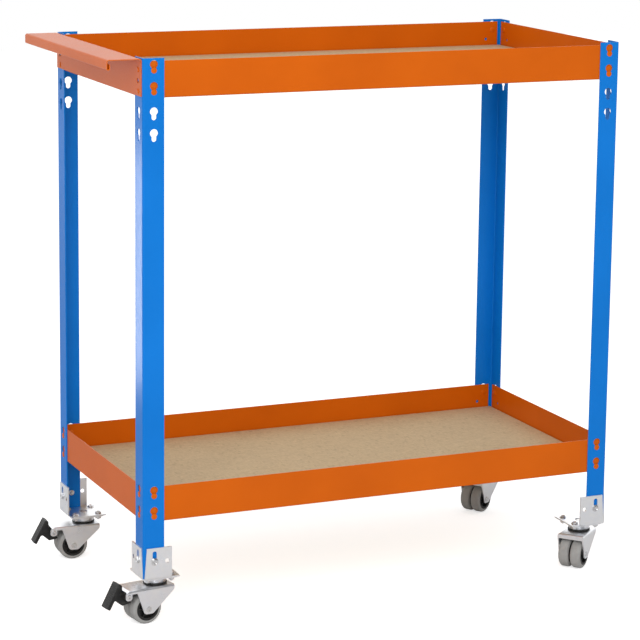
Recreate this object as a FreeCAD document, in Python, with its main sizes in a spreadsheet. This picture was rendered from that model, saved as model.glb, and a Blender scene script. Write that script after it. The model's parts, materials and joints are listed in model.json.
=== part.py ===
import FreeCAD, Part
import math
import os
import re
import Sketcher

# Mobile workbench: four slotted angle posts, two tray shelves of folded beams and chipboard,
# a folded push handle on the left end and four swivel casters with twin wheels.
# Millimetres, +Z up. The origin is on the floor, midway between the posts.
# Front is -Y, the handle is on the -X end.

SIZES = {
    # Frame over the outer faces of the posts, and the slotted angle posts
    "length": 950,
    "depth": 480,
    "post_length": 938,
    "post_flange": 40,
    "post_sheet": 2,
    "post_bend": 2,
    # Keyholes: one pair of holes per beam end, and a spare pair below the top shelf
    "hole_line": 21,
    "hole_pitch": 38,
    "spare_drop": 82.5,
    "bottom_shelf_rise": 104,
    "keyhole_head": 15,
    "keyhole_shoulder": 2.5,
    "keyhole_neck": 6,
    "keyhole_slot": 9,
    "keyhole_drop": 10.5,
    # Shelf beams: an upright web with a ledge at its foot
    "beam_drop": 5,
    "beam_height": 65,
    "beam_ledge": 30,
    "beam_sheet": 1.5,
    "beam_bend": 1.5,
    "beam_end_gap": 7,
    "ledge_gap": 1,
    "stud_drop": 16.5,
    "lock_hole": 6,
    "lock_inset": 14,
    # Headed studs that hook the beams into the keyholes
    "stud_head": 10.6,
    "stud_head_height": 1.2,
    "stud_play": 0.6,
    "stud_tail": 10.5,
    "stud_tail_height": 1.2,
    # Chipboard shelves
    "board_thickness": 16,
    "board_play": 2.5,
    # Push handle
    "handle_reach": 64,
    "handle_lift": 3,
    "handle_height": 66,
    "handle_sheet": 1.5,
    "handle_end": 4,
    "handle_bend": 2.5,
    "handle_hole": 9,
    "lip_height": 18,
    "hem_width": 6,
    "hem_return": 10,
    "hem_bend": 1,
    # Corner brackets under the posts
    "bracket_sheet": 2.5,
    "bracket_base": 70,
    "bracket_height": 59,
    "bracket_slit": 2.2,
    "bracket_flare": 4,
    "bracket_tab": 52,
    "bracket_bend": 2,
    "bracket_bolt_rise": 31,
    "bracket_slot": 8,
    "bracket_slot_run": 7,
    "bracket_slot_rise": 15.5,
    "bracket_hole": 8,
    "bracket_hole_inset": 45,
    # Bolts and nuts
    "bolt_shank": 6,
    "bolt_play": 0.6,
    "bolt_head": 11,
    "bolt_head_height": 3.5,
    "bolt_tip": 2,
    "nut_width": 10,
    "nut_height": 5,
    # Caster top plates and swivels
    "caster_height": 86,
    "plate_width": 62,
    "plate_sheet": 2.5,
    "plate_bolt_pitch": 46,
    "race_width": 48,
    "race_taper": 4,
    "fork_race_width": 40,
    "fork_race_height": 4,
    "swivel_gap": 0.4,
    "king_pin": 10,
    "king_head": 16,
    "king_head_height": 3.5,
    "king_cap": 14,
    "king_cap_height": 2,
    "king_cap_room": 1,
    "running_play": 0.1,
    # Forks
    "fork_sheet": 2.5,
    "fork_headroom": 8,
    "fork_front": 26,
    "fork_rear": 46,
    "fork_cheek": 9,
    "cheek_round": 8,
    "fork_bend": 1.5,
    "toe_width": 17,
    "toe_drop": 8.5,
    "toe_round": 7,
    "trail": 26,
    # Twin wheels
    "wheel_diameter": 58,
    "tyre_width": 21,
    "tyre_thickness": 7,
    "tyre_shoulder": 6,
    "tyre_play": 0.05,
    "hub_length": 23.2,
    "hub_boss": 17,
    "hub_rim": 4,
    "hub_web": 5,
    "hub_side_play": 0.4,
    "axle": 8,
    "axle_head": 11,
    "axle_head_height": 1.2,
    # Brake pedals on the two casters of the handle end
    "pivot_setback": 11,
    "cheek_back": 23,
    "arm_height": 6,
    "ear_half": 6.5,
    "ear_round": 5,
    "pedal_pin": 6,
    "pedal_pin_head": 10,
    "pedal_pin_head_height": 1.5,
    "pedal_hub": 12.5,
    "pedal_side_play": 0.5,
    "pedal_width": 26,
    "pad_top_back": 13,
    "pad_top_rise": 23,
    "pad_foot_back": 37,
    "pad_foot_drop": 21,
    "pad_thickness": 7,
    "pedal_neck": 6,
    "pedal_crown": 5.75,
    "pad_web_drop": 6,
    "shoe_heel_back": 6,
    "shoe_heel_drop": 19,
    "brake_gap": 0.4,
    "brake_swing": 18,
    # How far the cutter of a hole reaches past the sheet on each side
    "drill_reach": 8,
    # How far each caster has swivelled away from trailing straight back to -X
    "swivel_front_left": 8,
    "swivel_back_left": -3,
    "swivel_front_right": 40,
    "swivel_back_right": 33,
}

# Heights and distances that follow from the sizes above
DERIVED = {
    "half_length": "length / 2",
    "half_depth": "depth / 2",
    "post_foot": "caster_height + bracket_sheet",
    "post_top": "post_foot + post_length",
    "top_beam_foot": "post_top - beam_drop - beam_height",
    "bottom_beam_foot": "post_foot + bottom_shelf_rise",
    "stud_height": "beam_height - stud_drop",
    "stud_shank": "keyhole_slot - stud_play",
    "stud_grip": "beam_sheet + post_sheet",
    "handle_grip": "stud_grip + handle_sheet",
    "bolt_hole": "bolt_shank + bolt_play",
    "king_inset": "bracket_base / 2",
    "plate_foot": "caster_height - plate_sheet",
    "fork_roof": "wheel_diameter + fork_headroom",
    "fork_top": "fork_roof + fork_sheet",
    "race_foot": "fork_top + fork_race_height + swivel_gap",
    "axle_height": "wheel_diameter / 2",
    "fork_inside": "hub_length + 2 * hub_side_play",
    "fork_outside": "fork_inside + fork_sheet",
    "wheel_middle": "hub_length / 2 + hub_side_play",
    "tyre_inside": "wheel_diameter / 2 - tyre_thickness",
    "pivot_back": "wheel_diameter / 2 + pivot_setback",
    "pivot_rise": "wheel_diameter / 2",
    "pivot_x": "-trail - pivot_back",
    "pivot_z": "axle_height + pivot_rise",
    "pad_run": "sqrt((pad_foot_back - pad_top_back)^2 + (pad_top_rise + pad_foot_drop)^2)",
    "pad_in": "pad_thickness * (pad_top_rise + pad_foot_drop) / pad_run",
    "pad_down": "pad_thickness * (pad_foot_back - pad_top_back) / pad_run",
    "shoe_reach": "sqrt(pivot_back^2 + pivot_rise^2) - wheel_diameter / 2 - brake_gap",
    "shoe_angle": "atan(pivot_rise / pivot_back) + brake_swing * 1 deg",
}

TOUCH = 1e-6
AXIS_Z = FreeCAD.Vector(0, 0, 1)
UPRIGHT = FreeCAD.Rotation()
FACING_FRONT = FreeCAD.Rotation(FreeCAD.Vector(1, 0, 0), 90)
FACING_LEFT = FreeCAD.Rotation(FreeCAD.Vector(0, 1, 0), -90)

doc = FreeCAD.newDocument("MobileWorkbench")
sheet = doc.addObject("Spreadsheet::Sheet", "Sizes")
for row, (alias, size) in enumerate(SIZES.items(), 1):
    sheet.set("A%d" % row, alias)
    sheet.set("B%d" % row, str(size))
    sheet.setAlias("B%d" % row, alias)
doc.recompute()


def bound(formula):
    """Write a formula in size names as an expression on the sheet."""
    def word(match):
        name = match.group(0)
        if name in DERIVED:
            return "(" + bound(DERIVED[name]) + ")"
        return "Sizes." + name if name in SIZES else name
    return re.sub(r"[a-z_]+", word, formula)


def bind(thing, **formulas):
    for field, formula in formulas.items():
        thing.setExpression(field, bound(formula))
    return thing


def put(thing, x="0", y="0", z="0", turn=UPRIGHT):
    """Place a piece: its turn is fixed and its position follows the sheet."""
    thing.Placement = FreeCAD.Placement(FreeCAD.Vector(), turn)
    for field, formula in (("x", x), ("y", y), ("z", z)):
        thing.setExpression("Placement.Base." + field, bound(formula))
    return thing


def about_z(degrees):
    return FreeCAD.Rotation(AXIS_Z, degrees)


def box(name, x, y, z, wide, deep, high):
    block = bind(doc.addObject("Part::Box", name), Length=wide, Width=deep, Height=high)
    return put(block, x, y, z)


def rod(name, radius, height, x="0", y="0", z="0", turn=UPRIGHT):
    bar = bind(doc.addObject("Part::Cylinder", name), Radius=radius, Height=height)
    return put(bar, x, y, z, turn)


def bore(name, diameter, x, y, z, turn, reach="drill_reach"):
    """A cutter for a round hole, centred on the sheet that it goes through."""
    middle = rod(name + "_rod", "(%s) / 2" % diameter, "2 * (%s)" % reach, z="-(%s)" % reach)
    return copy(name, middle, x, y, z, turn)


def group(name, pieces):
    together = doc.addObject("Part::Compound", name)
    together.Links = pieces
    return together


def copy(name, master, x="0", y="0", z="0", turn=UPRIGHT):
    return put(group(name, [master]), x, y, z, turn)


def cut(name, base, cutters):
    result = doc.addObject("Part::Cut", name)
    result.Base = base
    result.Tool = group(name + "_cutters", cutters)
    return result


def fuse(name, pieces):
    result = doc.addObject("Part::MultiFuse", name)
    result.Shapes = pieces
    result.Refine = True
    return result


def start_sketch(body, plane):
    sketch = body.newObject("Sketcher::SketchObject", body.Name + "_outline")
    origin = [part for part in body.Origin.OriginFeatures if part.Role == plane][0]
    sketch.AttachmentSupport = [(origin, "")]
    sketch.MapMode = "FlatFace"
    return sketch


def pin_point(sketch, edge, point, x, y):
    """Hold one point of a sketch at coordinates that follow the sheet."""
    for kind, formula in (("DistanceX", x), ("DistanceY", y)):
        number = sketch.addConstraint(Sketcher.Constraint(kind, -1, 1, edge, point, 1.0))
        sketch.setExpression("Constraints[%d]" % number, bound(formula))


def outline(body, plane, points):
    """A closed outline of straight lines: each point is X, Y and, where its corner is round, a radius."""
    sketch = start_sketch(body, plane)
    count = len(points)
    ring = []
    for number in range(count):
        angle = 2 * math.pi * number / count
        ring.append(FreeCAD.Vector(math.cos(angle), math.sin(angle), 0))
    for number in range(count):
        sketch.addGeometry(Part.LineSegment(ring[number], ring[(number + 1) % count]), False)
    for number in range(count):
        sketch.addConstraint(Sketcher.Constraint("Coincident", number, 2, (number + 1) % count, 1))
    for number, (x, y, *_) in enumerate(points):
        pin_point(sketch, number, 1, x, y)
    return sketch


def corner_edges(feature, sketch, corners):
    """Names of the edges that a feature drew out from corners of its outline."""
    names = []
    normal = sketch.Placement.Rotation.multVec(AXIS_Z)
    for corner in corners:
        spot = Part.Vertex(sketch.Placement.multVec(sketch.Geometry[corner].StartPoint))
        for number, edge in enumerate(feature.Shape.Edges, 1):
            flat = all(abs(normal.dot(vertex.Point)) < TOUCH for vertex in edge.Vertexes)
            own_outline = flat and isinstance(edge.Curve, Part.Line)
            if not own_outline and edge.distToShape(spot)[0] < TOUCH:
                names.append("Edge%d" % number)
    return names


def round_off(body, sketch, points):
    """Round the edges that start at the corners of an outline that have a radius."""
    round_corners = {}
    for corner, (x, y, *radius) in enumerate(points):
        for formula in radius:
            round_corners.setdefault(formula, []).append(corner)
    for number, (radius, corners) in enumerate(round_corners.items(), 1):
        doc.recompute()
        base = body.Tip
        edges = corner_edges(base, sketch, corners)
        fillet = body.newObject("PartDesign::Fillet", "%s_round_%d" % (body.Name, number))
        fillet.Base = (base, edges)
        bind(fillet, Radius=radius)


def drawn(name, plane, points, length, both_ways=True):
    """A piece of constant outline, drawn out square to the plane of the outline."""
    body = doc.addObject("PartDesign::Body", name)
    sketch = outline(body, plane, points)
    pad = body.newObject("PartDesign::Pad", name + "_pad")
    pad.Profile = sketch
    pad.SideType = "Symmetric" if both_ways else "One side"
    bind(pad, Length=length)
    round_off(body, sketch, points)
    return body


def turned(name, plane, points):
    """A round piece: half its section, spun about the upright axis of the outline."""
    body = doc.addObject("PartDesign::Body", name)
    sketch = outline(body, plane, points)
    spin = body.newObject("PartDesign::Revolution", name + "_spin")
    spin.Profile = sketch
    spin.ReferenceAxis = (sketch, ["V_Axis"])
    spin.Angle = 360
    round_off(body, sketch, points)
    return body


def finish_hole(sketch, arcs, drop):
    """Hold the middles of a hole's upper and lower arc, and the width of each."""
    pin_point(sketch, 0, 3, "0", "0")
    pin_point(sketch, 1, 3, "0", "-" + drop)
    for arc, width in arcs.items():
        number = sketch.addConstraint(Sketcher.Constraint("Radius", arc, SIZES[width] / 2))
        sketch.setExpression("Constraints[%d]" % number, bound(width + " / 2"))


def pad_through(body, sketch, name, reach):
    pad = body.newObject("PartDesign::Pad", name + "_pad")
    pad.Profile = sketch
    pad.SideType = "Symmetric"
    bind(pad, Length=reach)
    return body


def long_hole(name, width, run, reach):
    """A cutter for an upright slot with two round ends, drawn down from the middle of its upper end."""
    body = doc.addObject("PartDesign::Body", name)
    sketch = start_sketch(body, "XZ_Plane")
    low = FreeCAD.Vector(0, -SIZES[run], 0)
    upper = Part.Circle(FreeCAD.Vector(0, 0, 0), AXIS_Z, SIZES[width] / 2)
    lower = Part.Circle(low, AXIS_Z, SIZES[width] / 2)
    sketch.addGeometry(Part.ArcOfCircle(upper, 0, math.pi), False)
    sketch.addGeometry(Part.ArcOfCircle(lower, math.pi, 2 * math.pi), False)
    for side in (1, -1):
        edge = FreeCAD.Vector(side * SIZES[width] / 2, 0, 0)
        sketch.addGeometry(Part.LineSegment(edge, edge + low), False)
    for arc, end, line, start in ((0, 1, 2, 1), (0, 2, 3, 1), (1, 1, 3, 2), (1, 2, 2, 2)):
        sketch.addConstraint(Sketcher.Constraint("Tangent", arc, end, line, start))
    finish_hole(sketch, {0: width, 1: width}, run)
    return pad_through(body, sketch, name, reach)


def keyhole(name, head, shoulder, neck, slot, drop, reach):
    """A cutter for a hole with a wide round head whose shoulders slope in to a round-ended slot."""
    body = doc.addObject("PartDesign::Body", name)
    sketch = start_sketch(body, "XZ_Plane")
    middle = FreeCAD.Vector(0, 0, 0)
    low = FreeCAD.Vector(0, -SIZES[drop], 0)
    upper = Part.Circle(middle, AXIS_Z, SIZES[head] / 2)
    lower = Part.Circle(low, AXIS_Z, SIZES[slot] / 2)
    dip = math.asin(2 * SIZES[shoulder] / SIZES[head])
    sketch.addGeometry(Part.ArcOfCircle(upper, -dip, math.pi + dip), False)
    sketch.addGeometry(Part.ArcOfCircle(lower, math.pi, 2 * math.pi), False)
    for side in (1, -1):
        wide = FreeCAD.Vector(side * SIZES[head] / 2 * math.cos(dip), -SIZES[shoulder], 0)
        bend = FreeCAD.Vector(side * SIZES[slot] / 2, -SIZES[neck], 0)
        foot = FreeCAD.Vector(side * SIZES[slot] / 2, low.y, 0)
        sketch.addGeometry(Part.LineSegment(wide, bend), False)
        sketch.addGeometry(Part.LineSegment(bend, foot), False)
    for first, end, second, start in ((0, 1, 2, 1), (0, 2, 4, 1), (2, 2, 3, 1), (4, 2, 5, 1)):
        sketch.addConstraint(Sketcher.Constraint("Coincident", first, end, second, start))
    for arc, end, line, start in ((1, 2, 3, 2), (1, 1, 5, 2)):
        sketch.addConstraint(Sketcher.Constraint("Tangent", arc, end, line, start))
        sketch.addConstraint(Sketcher.Constraint("Vertical", line))
    for line in (2, 4):
        for end, depth in ((1, shoulder), (2, neck)):
            number = sketch.addConstraint(Sketcher.Constraint("DistanceY", line, end, -1, 1, SIZES[depth]))
            sketch.setExpression("Constraints[%d]" % number, bound(depth))
    finish_hole(sketch, {0: head, 1: slot}, drop)
    return pad_through(body, sketch, name, reach)


def side_spot(side, along, out):
    """Turn a spot on the front side, measured along it and outwards, onto another side."""
    return {
        "front": (along, "-(" + out + ")"),
        "right": (out, along),
        "back": ("-(" + along + ")", out),
        "left": ("-(" + out + ")", "-(" + along + ")"),
    }[side]


SIDE_TURN = {"front": 0, "right": 90, "back": 180, "left": 270}
SIDE_SPAN = {"front": "half_length", "right": "half_depth", "back": "half_length", "left": "half_depth"}
SIDE_OUT = {"front": "half_depth", "right": "half_length", "back": "half_depth", "left": "half_length"}

# Each corner: its turn about Z, and the signs of its X and Y
CORNERS = {
    "front_left": (0, "-", "-"),
    "front_right": (90, "", "-"),
    "back_right": (180, "", ""),
    "back_left": (270, "-", ""),
}
BRAKED = ("front_left", "back_left")
nodes = {}


def corner_copy(name, master, corner, inset="0"):
    """A copy of a piece made for the front left corner, carried to another corner."""
    turn, sign_x, sign_y = CORNERS[corner]
    x = "%s(half_length - (%s))" % (sign_x, inset)
    y = "%s(half_depth - (%s))" % (sign_y, inset)
    return copy(name, master, x, y, turn=about_z(turn))


# Posts: folded angles with keyholes for the two shelves, one spare pair, and a bolt hole low down
post_points = [
    ("0", "0", "post_bend + post_sheet"),
    ("post_flange", "0"),
    ("post_flange", "post_sheet"),
    ("post_sheet", "post_sheet", "post_bend"),
    ("post_sheet", "post_flange"),
    ("0", "post_flange"),
]
post_angle = drawn("post_angle", "XY_Plane", post_points, "post_length", both_ways=False)
stud_keyhole = keyhole("stud_keyhole", "keyhole_head", "keyhole_shoulder", "keyhole_neck", "keyhole_slot",
                       "keyhole_drop", "2 * drill_reach")
post_cutters = []
seat_rise = "stud_height + keyhole_drop"
pair_heights = {
    "top": "top_beam_foot - post_foot + " + seat_rise,
    "spare": "top_beam_foot - post_foot - spare_drop + " + seat_rise,
    "bottom": "bottom_beam_foot - post_foot + " + seat_rise,
}
for pair, pair_height in pair_heights.items():
    for hole in range(2):
        height = "%s - %d * hole_pitch" % (pair_height, hole)
        tag = "%s_%d" % (pair, hole)
        post_cutters.append(copy("post_front_keyhole_" + tag, stud_keyhole, "hole_line", "0", height))
        post_cutters.append(copy("post_side_keyhole_" + tag, stud_keyhole, "0", "hole_line", height,
                                 about_z(90)))
post_cutters.append(bore("post_front_bolt_hole", "bolt_hole", "hole_line", "0", "bracket_bolt_rise",
                         FACING_FRONT))
post_cutters.append(bore("post_side_bolt_hole", "bolt_hole", "0", "hole_line", "bracket_bolt_rise",
                         FACING_LEFT))
post = cut("post", post_angle, post_cutters)
post_on_bracket = copy("post_on_bracket", post, z="post_foot")
for corner in CORNERS:
    nodes["post_" + corner] = corner_copy("post_" + corner, post_on_bracket, corner)


# Shelf beams: the web lies against the inside of the posts and the ledge carries the board
def make_beam(name, span):
    points = [
        ("0", "0", "beam_bend + beam_sheet"),
        ("beam_ledge", "0"),
        ("beam_ledge", "beam_sheet"),
        ("beam_sheet", "beam_sheet", "beam_bend"),
        ("beam_sheet", "beam_height"),
        ("0", "beam_height"),
    ]
    run = "2 * (%s - post_sheet - beam_end_gap)" % span
    blank = drawn(name + "_blank", "YZ_Plane", points, run)
    cutters = []
    for end, sign in (("start", "-"), ("finish", "")):
        across = "%s(%s - hole_line)" % (sign, span)
        for hole in range(2):
            height = "stud_height - %d * hole_pitch" % hole
            cutters.append(bore("%s_%s_stud_hole_%d" % (name, end, hole), "stud_shank", across, "0", height,
                                FACING_FRONT))
        across = "%s(%s - hole_line - lock_inset)" % (sign, span)
        cutters.append(bore("%s_%s_lock_hole" % (name, end), "lock_hole", across, "0",
                            "stud_height - hole_pitch / 2", FACING_FRONT))
    if span == "half_depth":
        # The ledge of a short beam stops short of the ledges of the long beams
        keep = "half_depth - post_sheet - beam_ledge - ledge_gap"
        root = "beam_sheet + beam_bend"
        for end, start in (("start", "-half_depth"), ("finish", keep)):
            cutters.append(box("%s_%s_notch" % (name, end), start, root, "-drill_reach",
                               "half_depth - (%s)" % keep, "beam_ledge", "2 * drill_reach"))
    return cut(name, blank, cutters)


long_beam = make_beam("long_beam", "half_length")
short_beam = make_beam("short_beam", "half_depth")
for shelf in ("top", "bottom"):
    for side, turn in SIDE_TURN.items():
        name = "%s_%s_beam" % (shelf, side)
        beam = long_beam if side in ("front", "back") else short_beam
        x, y = side_spot(side, "0", SIDE_OUT[side] + " - post_sheet")
        nodes[name] = copy(name, beam, x, y, shelf + "_beam_foot", about_z(turn))


# Studs: riveted in the beam webs, headed outside the posts. The handle ones also hold the handle.
def make_stud(name, grip):
    points = [
        ("0", "-stud_tail_height"),
        ("stud_tail / 2", "-stud_tail_height"),
        ("stud_tail / 2", "0"),
        ("stud_shank / 2", "0"),
        ("stud_shank / 2", grip),
        ("stud_head / 2", grip),
        ("stud_head / 2", grip + " + stud_head_height / 2"),
        ("stud_head / 2 - stud_head_height / 2", grip + " + stud_head_height"),
        ("0", grip + " + stud_head_height"),
    ]
    return turned(name, "XZ_Plane", points)


beam_stud = make_stud("beam_stud", "stud_grip")
handle_stud = make_stud("handle_stud", "handle_grip")
beam_studs = []
handle_studs = []
for shelf in ("top", "bottom"):
    for side, turn in SIDE_TURN.items():
        holds_handle = shelf == "top" and side == "left"
        for end, sign in (("start", "-"), ("finish", "")):
            for hole in range(2):
                along = "%s(%s - hole_line)" % (sign, SIDE_SPAN[side])
                x, y = side_spot(side, along, SIDE_OUT[side] + " - stud_grip")
                height = "%s_beam_foot + stud_height - %d * hole_pitch" % (shelf, hole)
                name = "%s_%s_%s_stud_%d" % (shelf, side, end, hole)
                facing = about_z(turn).multiply(FACING_FRONT)
                stud = handle_stud if holds_handle else beam_stud
                pile = handle_studs if holds_handle else beam_studs
                pile.append(copy(name, stud, x, y, height, facing))
nodes["beam_studs"] = group("beam_studs", beam_studs)
nodes["handle_studs"] = group("handle_studs", handle_studs)

# Boards: chipboard lying loose on the ledges
board_half_length = "(half_length - post_sheet - beam_sheet - board_play)"
board_half_depth = "(half_depth - post_sheet - beam_sheet - board_play)"
for shelf in ("top", "bottom"):
    name = shelf + "_board"
    ledge_top = shelf + "_beam_foot + beam_sheet"
    nodes[name] = box(name, "-" + board_half_length, "-" + board_half_depth, ledge_top,
                      "2 * " + board_half_length, "2 * " + board_half_depth, "board_thickness")

# Push handle: a web against the left posts, a flat grip plate and a hemmed lip hanging from its edge
lip_foot = "(handle_height - lip_height)"
bend_outside = "handle_bend + handle_sheet"
hem_outside = "hem_bend + handle_sheet"
handle_points = [
    ("0", "0"),
    ("0", "handle_height", bend_outside),
    ("-handle_reach", "handle_height", bend_outside),
    ("-handle_reach", lip_foot, hem_outside),
    ("-handle_reach + hem_width", lip_foot, hem_outside),
    ("-handle_reach + hem_width", lip_foot + " + hem_return"),
    ("-handle_reach + hem_width - handle_sheet", lip_foot + " + hem_return"),
    ("-handle_reach + hem_width - handle_sheet", lip_foot + " + handle_sheet", "hem_bend"),
    ("-handle_reach + handle_sheet", lip_foot + " + handle_sheet", "hem_bend"),
    ("-handle_reach + handle_sheet", "handle_height - handle_sheet", "handle_bend"),
    ("-handle_sheet", "handle_height - handle_sheet", "handle_bend"),
    ("-handle_sheet", "0"),
]
handle_blank = drawn("handle_blank", "XZ_Plane", handle_points, "depth - 2 * handle_end")
handle_cutters = []
for end, sign in (("front", "-"), ("back", "")):
    across = "%s(half_depth - hole_line)" % sign
    for hole in range(2):
        height = "stud_height - handle_lift - %d * hole_pitch" % hole
        handle_cutters.append(bore("handle_%s_stud_hole_%d" % (end, hole), "keyhole_slot", "0", across, height,
                                   FACING_LEFT))
    handle_cutters.append(bore("handle_%s_hole" % end, "handle_hole", "0", across,
                               "stud_height - handle_lift - hole_pitch / 2", FACING_LEFT))
handle = cut("handle", handle_blank, handle_cutters)
nodes["push_handle"] = copy("push_handle", handle, "-half_length", "0", "top_beam_foot + handle_lift")

# Corner brackets: a base plate under the post with two tabs folded up outside it. The slit between them flares.
bracket_plate = box("bracket_plate", "0", "0", "caster_height",
                    "bracket_base", "bracket_base", "bracket_sheet")
bend_leg = "(bracket_sheet + bracket_bend + bracket_slit)"
tab_top = "caster_height + bracket_height"
tab_points = [
    ("-bracket_sheet", "caster_height", "bracket_bend + bracket_sheet"),
    (bend_leg, "caster_height"),
    (bend_leg, "post_foot"),
    ("0", "post_foot"),
    ("0", tab_top),
    ("-bracket_sheet", tab_top),
]
bracket_tab = drawn("bracket_tab", "YZ_Plane", tab_points, "bracket_tab")
tab_middle = "bracket_slit + bracket_tab / 2"
front_tab = copy("bracket_front_tab", bracket_tab, tab_middle, "0")
side_tab = copy("bracket_side_tab", bracket_tab, "0", tab_middle, turn=about_z(-90))
bracket_blank = fuse("bracket_blank", [bracket_plate, front_tab, side_tab])
bracket_slot = long_hole("bracket_slot_cutter", "bracket_slot", "bracket_slot_run", "2 * drill_reach")
flare_points = [
    ("bracket_slit / 2", "post_foot + bracket_bend"),
    ("bracket_slit", "post_foot + bracket_bend"),
    ("bracket_slit + bracket_flare", tab_top),
    ("bracket_slit + bracket_flare", tab_top + " + drill_reach"),
    ("bracket_slit / 2", tab_top + " + drill_reach"),
]
slit_flare = drawn("slit_flare_cutter", "XZ_Plane", flare_points, "2 * drill_reach")
slot_height = "post_foot + bracket_bolt_rise + bracket_slot_rise"
bolt_height = "post_foot + bracket_bolt_rise"
bracket_cutters = [
    copy("front_tab_flare", slit_flare),
    copy("side_tab_flare", slit_flare, turn=about_z(90)),
    copy("front_tab_slot", bracket_slot, "hole_line", "0", slot_height),
    copy("side_tab_slot", bracket_slot, "0", "hole_line", slot_height, about_z(90)),
]
tab_holes = {
    "bolt_hole": ("bolt_hole", "hole_line"),
    "spare_hole": ("bracket_hole", "bracket_hole_inset"),
}
for tag, (size, inset) in tab_holes.items():
    bracket_cutters.append(bore("front_tab_" + tag, size, inset, "0", bolt_height, FACING_FRONT))
    bracket_cutters.append(bore("side_tab_" + tag, size, "0", inset, bolt_height, FACING_LEFT))
plate_bolt_spots = []
for x_sign in "-+":
    for y_sign in "-+":
        plate_bolt_spots.append(("king_inset %s plate_bolt_pitch / 2" % x_sign,
                                 "king_inset %s plate_bolt_pitch / 2" % y_sign))
for number, (x, y) in enumerate(plate_bolt_spots):
    bracket_cutters.append(bore("bracket_plate_bolt_hole_%d" % number, "bolt_hole", x, y, "caster_height",
                                UPRIGHT))
bracket_cutters.append(bore("bracket_king_hole", "king_cap + 2 * king_cap_room", "king_inset", "king_inset",
                            "caster_height", UPRIGHT))
bracket = cut("bracket", bracket_blank, bracket_cutters)
for corner in CORNERS:
    nodes["bracket_" + corner] = corner_copy("bracket_" + corner, bracket, corner)


# Bolts and nuts: pan heads with a chamfered rim, hexagon nuts
def make_bolt(name, grip):
    length = grip + " + nut_height + bolt_tip"
    points = [
        ("0", "-(%s)" % length),
        ("bolt_shank / 2", "-(%s)" % length),
        ("bolt_shank / 2", "0"),
        ("bolt_head / 2", "0"),
        ("bolt_head / 2", "bolt_head_height / 2"),
        ("bolt_head / 2 - bolt_head_height / 2", "bolt_head_height"),
        ("0", "bolt_head_height"),
    ]
    return turned(name, "XZ_Plane", points)


hexagon = doc.addObject("Part::Prism", "nut_hexagon")
hexagon.Polygon = 6
bind(hexagon, Circumradius="nut_width / sqrt(3)", Height="nut_height")
nut_hole = rod("nut_hole", "bolt_shank / 2", "nut_height + 2 * drill_reach", z="-drill_reach")
nut = cut("nut", hexagon, [nut_hole])

bracket_grip = "bracket_sheet + post_sheet"
bracket_bolt = make_bolt("bracket_bolt", bracket_grip)
bolt_pair = group("bracket_bolt_pair", [
    copy("front_tab_bolt", bracket_bolt, "hole_line", "-bracket_sheet", bolt_height, FACING_FRONT),
    copy("side_tab_bolt", bracket_bolt, "-bracket_sheet", "hole_line", bolt_height, FACING_LEFT),
])
nut_pair = group("bracket_nut_pair", [
    copy("front_tab_nut", nut, "hole_line", "post_sheet + nut_height", bolt_height, FACING_FRONT),
    copy("side_tab_nut", nut, "post_sheet + nut_height", "hole_line", bolt_height, FACING_LEFT),
])
plate_grip = "bracket_sheet + plate_sheet"
plate_bolt = make_bolt("plate_bolt", plate_grip)
plate_bolts = []
plate_nuts = []
for number, (x, y) in enumerate(plate_bolt_spots):
    plate_bolts.append(copy("plate_bolt_%d" % number, plate_bolt, x, y, "post_foot"))
    plate_nuts.append(copy("plate_nut_%d" % number, nut, x, y, "plate_foot - nut_height"))
bolt_four = group("plate_bolt_four", plate_bolts)
nut_four = group("plate_nut_four", plate_nuts)
fastener_sets = {
    "bracket_bolts": bolt_pair,
    "bracket_nuts": nut_pair,
    "caster_bolts": bolt_four,
    "caster_nuts": nut_four,
}
for name, master in fastener_sets.items():
    sets = [corner_copy(name + "_" + corner, master, corner) for corner in CORNERS]
    nodes[name] = group(name, sets)

# Caster top plates with a pressed bearing cup, and the king pins that the forks turn on
plate_sheet_box = box("plate_sheet_box", "-plate_width / 2", "-plate_width / 2", "plate_foot",
                      "plate_width", "plate_width", "plate_sheet")
cup = bind(doc.addObject("Part::Cone", "race_cup"), Radius1="race_width / 2 - race_taper",
           Radius2="race_width / 2", Height="plate_foot - (race_foot)")
put(cup, z="race_foot")
plate_blank = fuse("plate_blank", [plate_sheet_box, cup])
plate_cutters = [rod("plate_king_hole", "king_pin / 2", "caster_height + drill_reach")]
for number, (x, y) in enumerate(plate_bolt_spots):
    plate_cutters.append(bore("plate_bolt_hole_%d" % number, "bolt_hole", x + " - king_inset",
                              y + " - king_inset", "plate_foot", UPRIGHT))
top_plate = cut("top_plate", plate_blank, plate_cutters)
king_points = [
    ("0", "fork_roof - swivel_gap - king_head_height"),
    ("king_head / 2", "fork_roof - swivel_gap - king_head_height"),
    ("king_head / 2", "fork_roof - swivel_gap"),
    ("king_pin / 2", "fork_roof - swivel_gap"),
    ("king_pin / 2", "caster_height"),
    ("king_cap / 2", "caster_height"),
    ("king_cap / 2", "caster_height + king_cap_height / 2"),
    ("king_cap / 2 - king_cap_height", "caster_height + king_cap_height"),
    ("0", "caster_height + king_cap_height"),
]
king_pin = turned("king_pin", "XZ_Plane", king_points)
king_pins = []
for corner in CORNERS:
    name = "caster_plate_" + corner
    nodes[name] = corner_copy(name, top_plate, corner, "king_inset")
    king_pins.append(corner_copy("king_pin_" + corner, king_pin, corner, "king_inset"))
nodes["king_pins"] = group("king_pins", king_pins)


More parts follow.
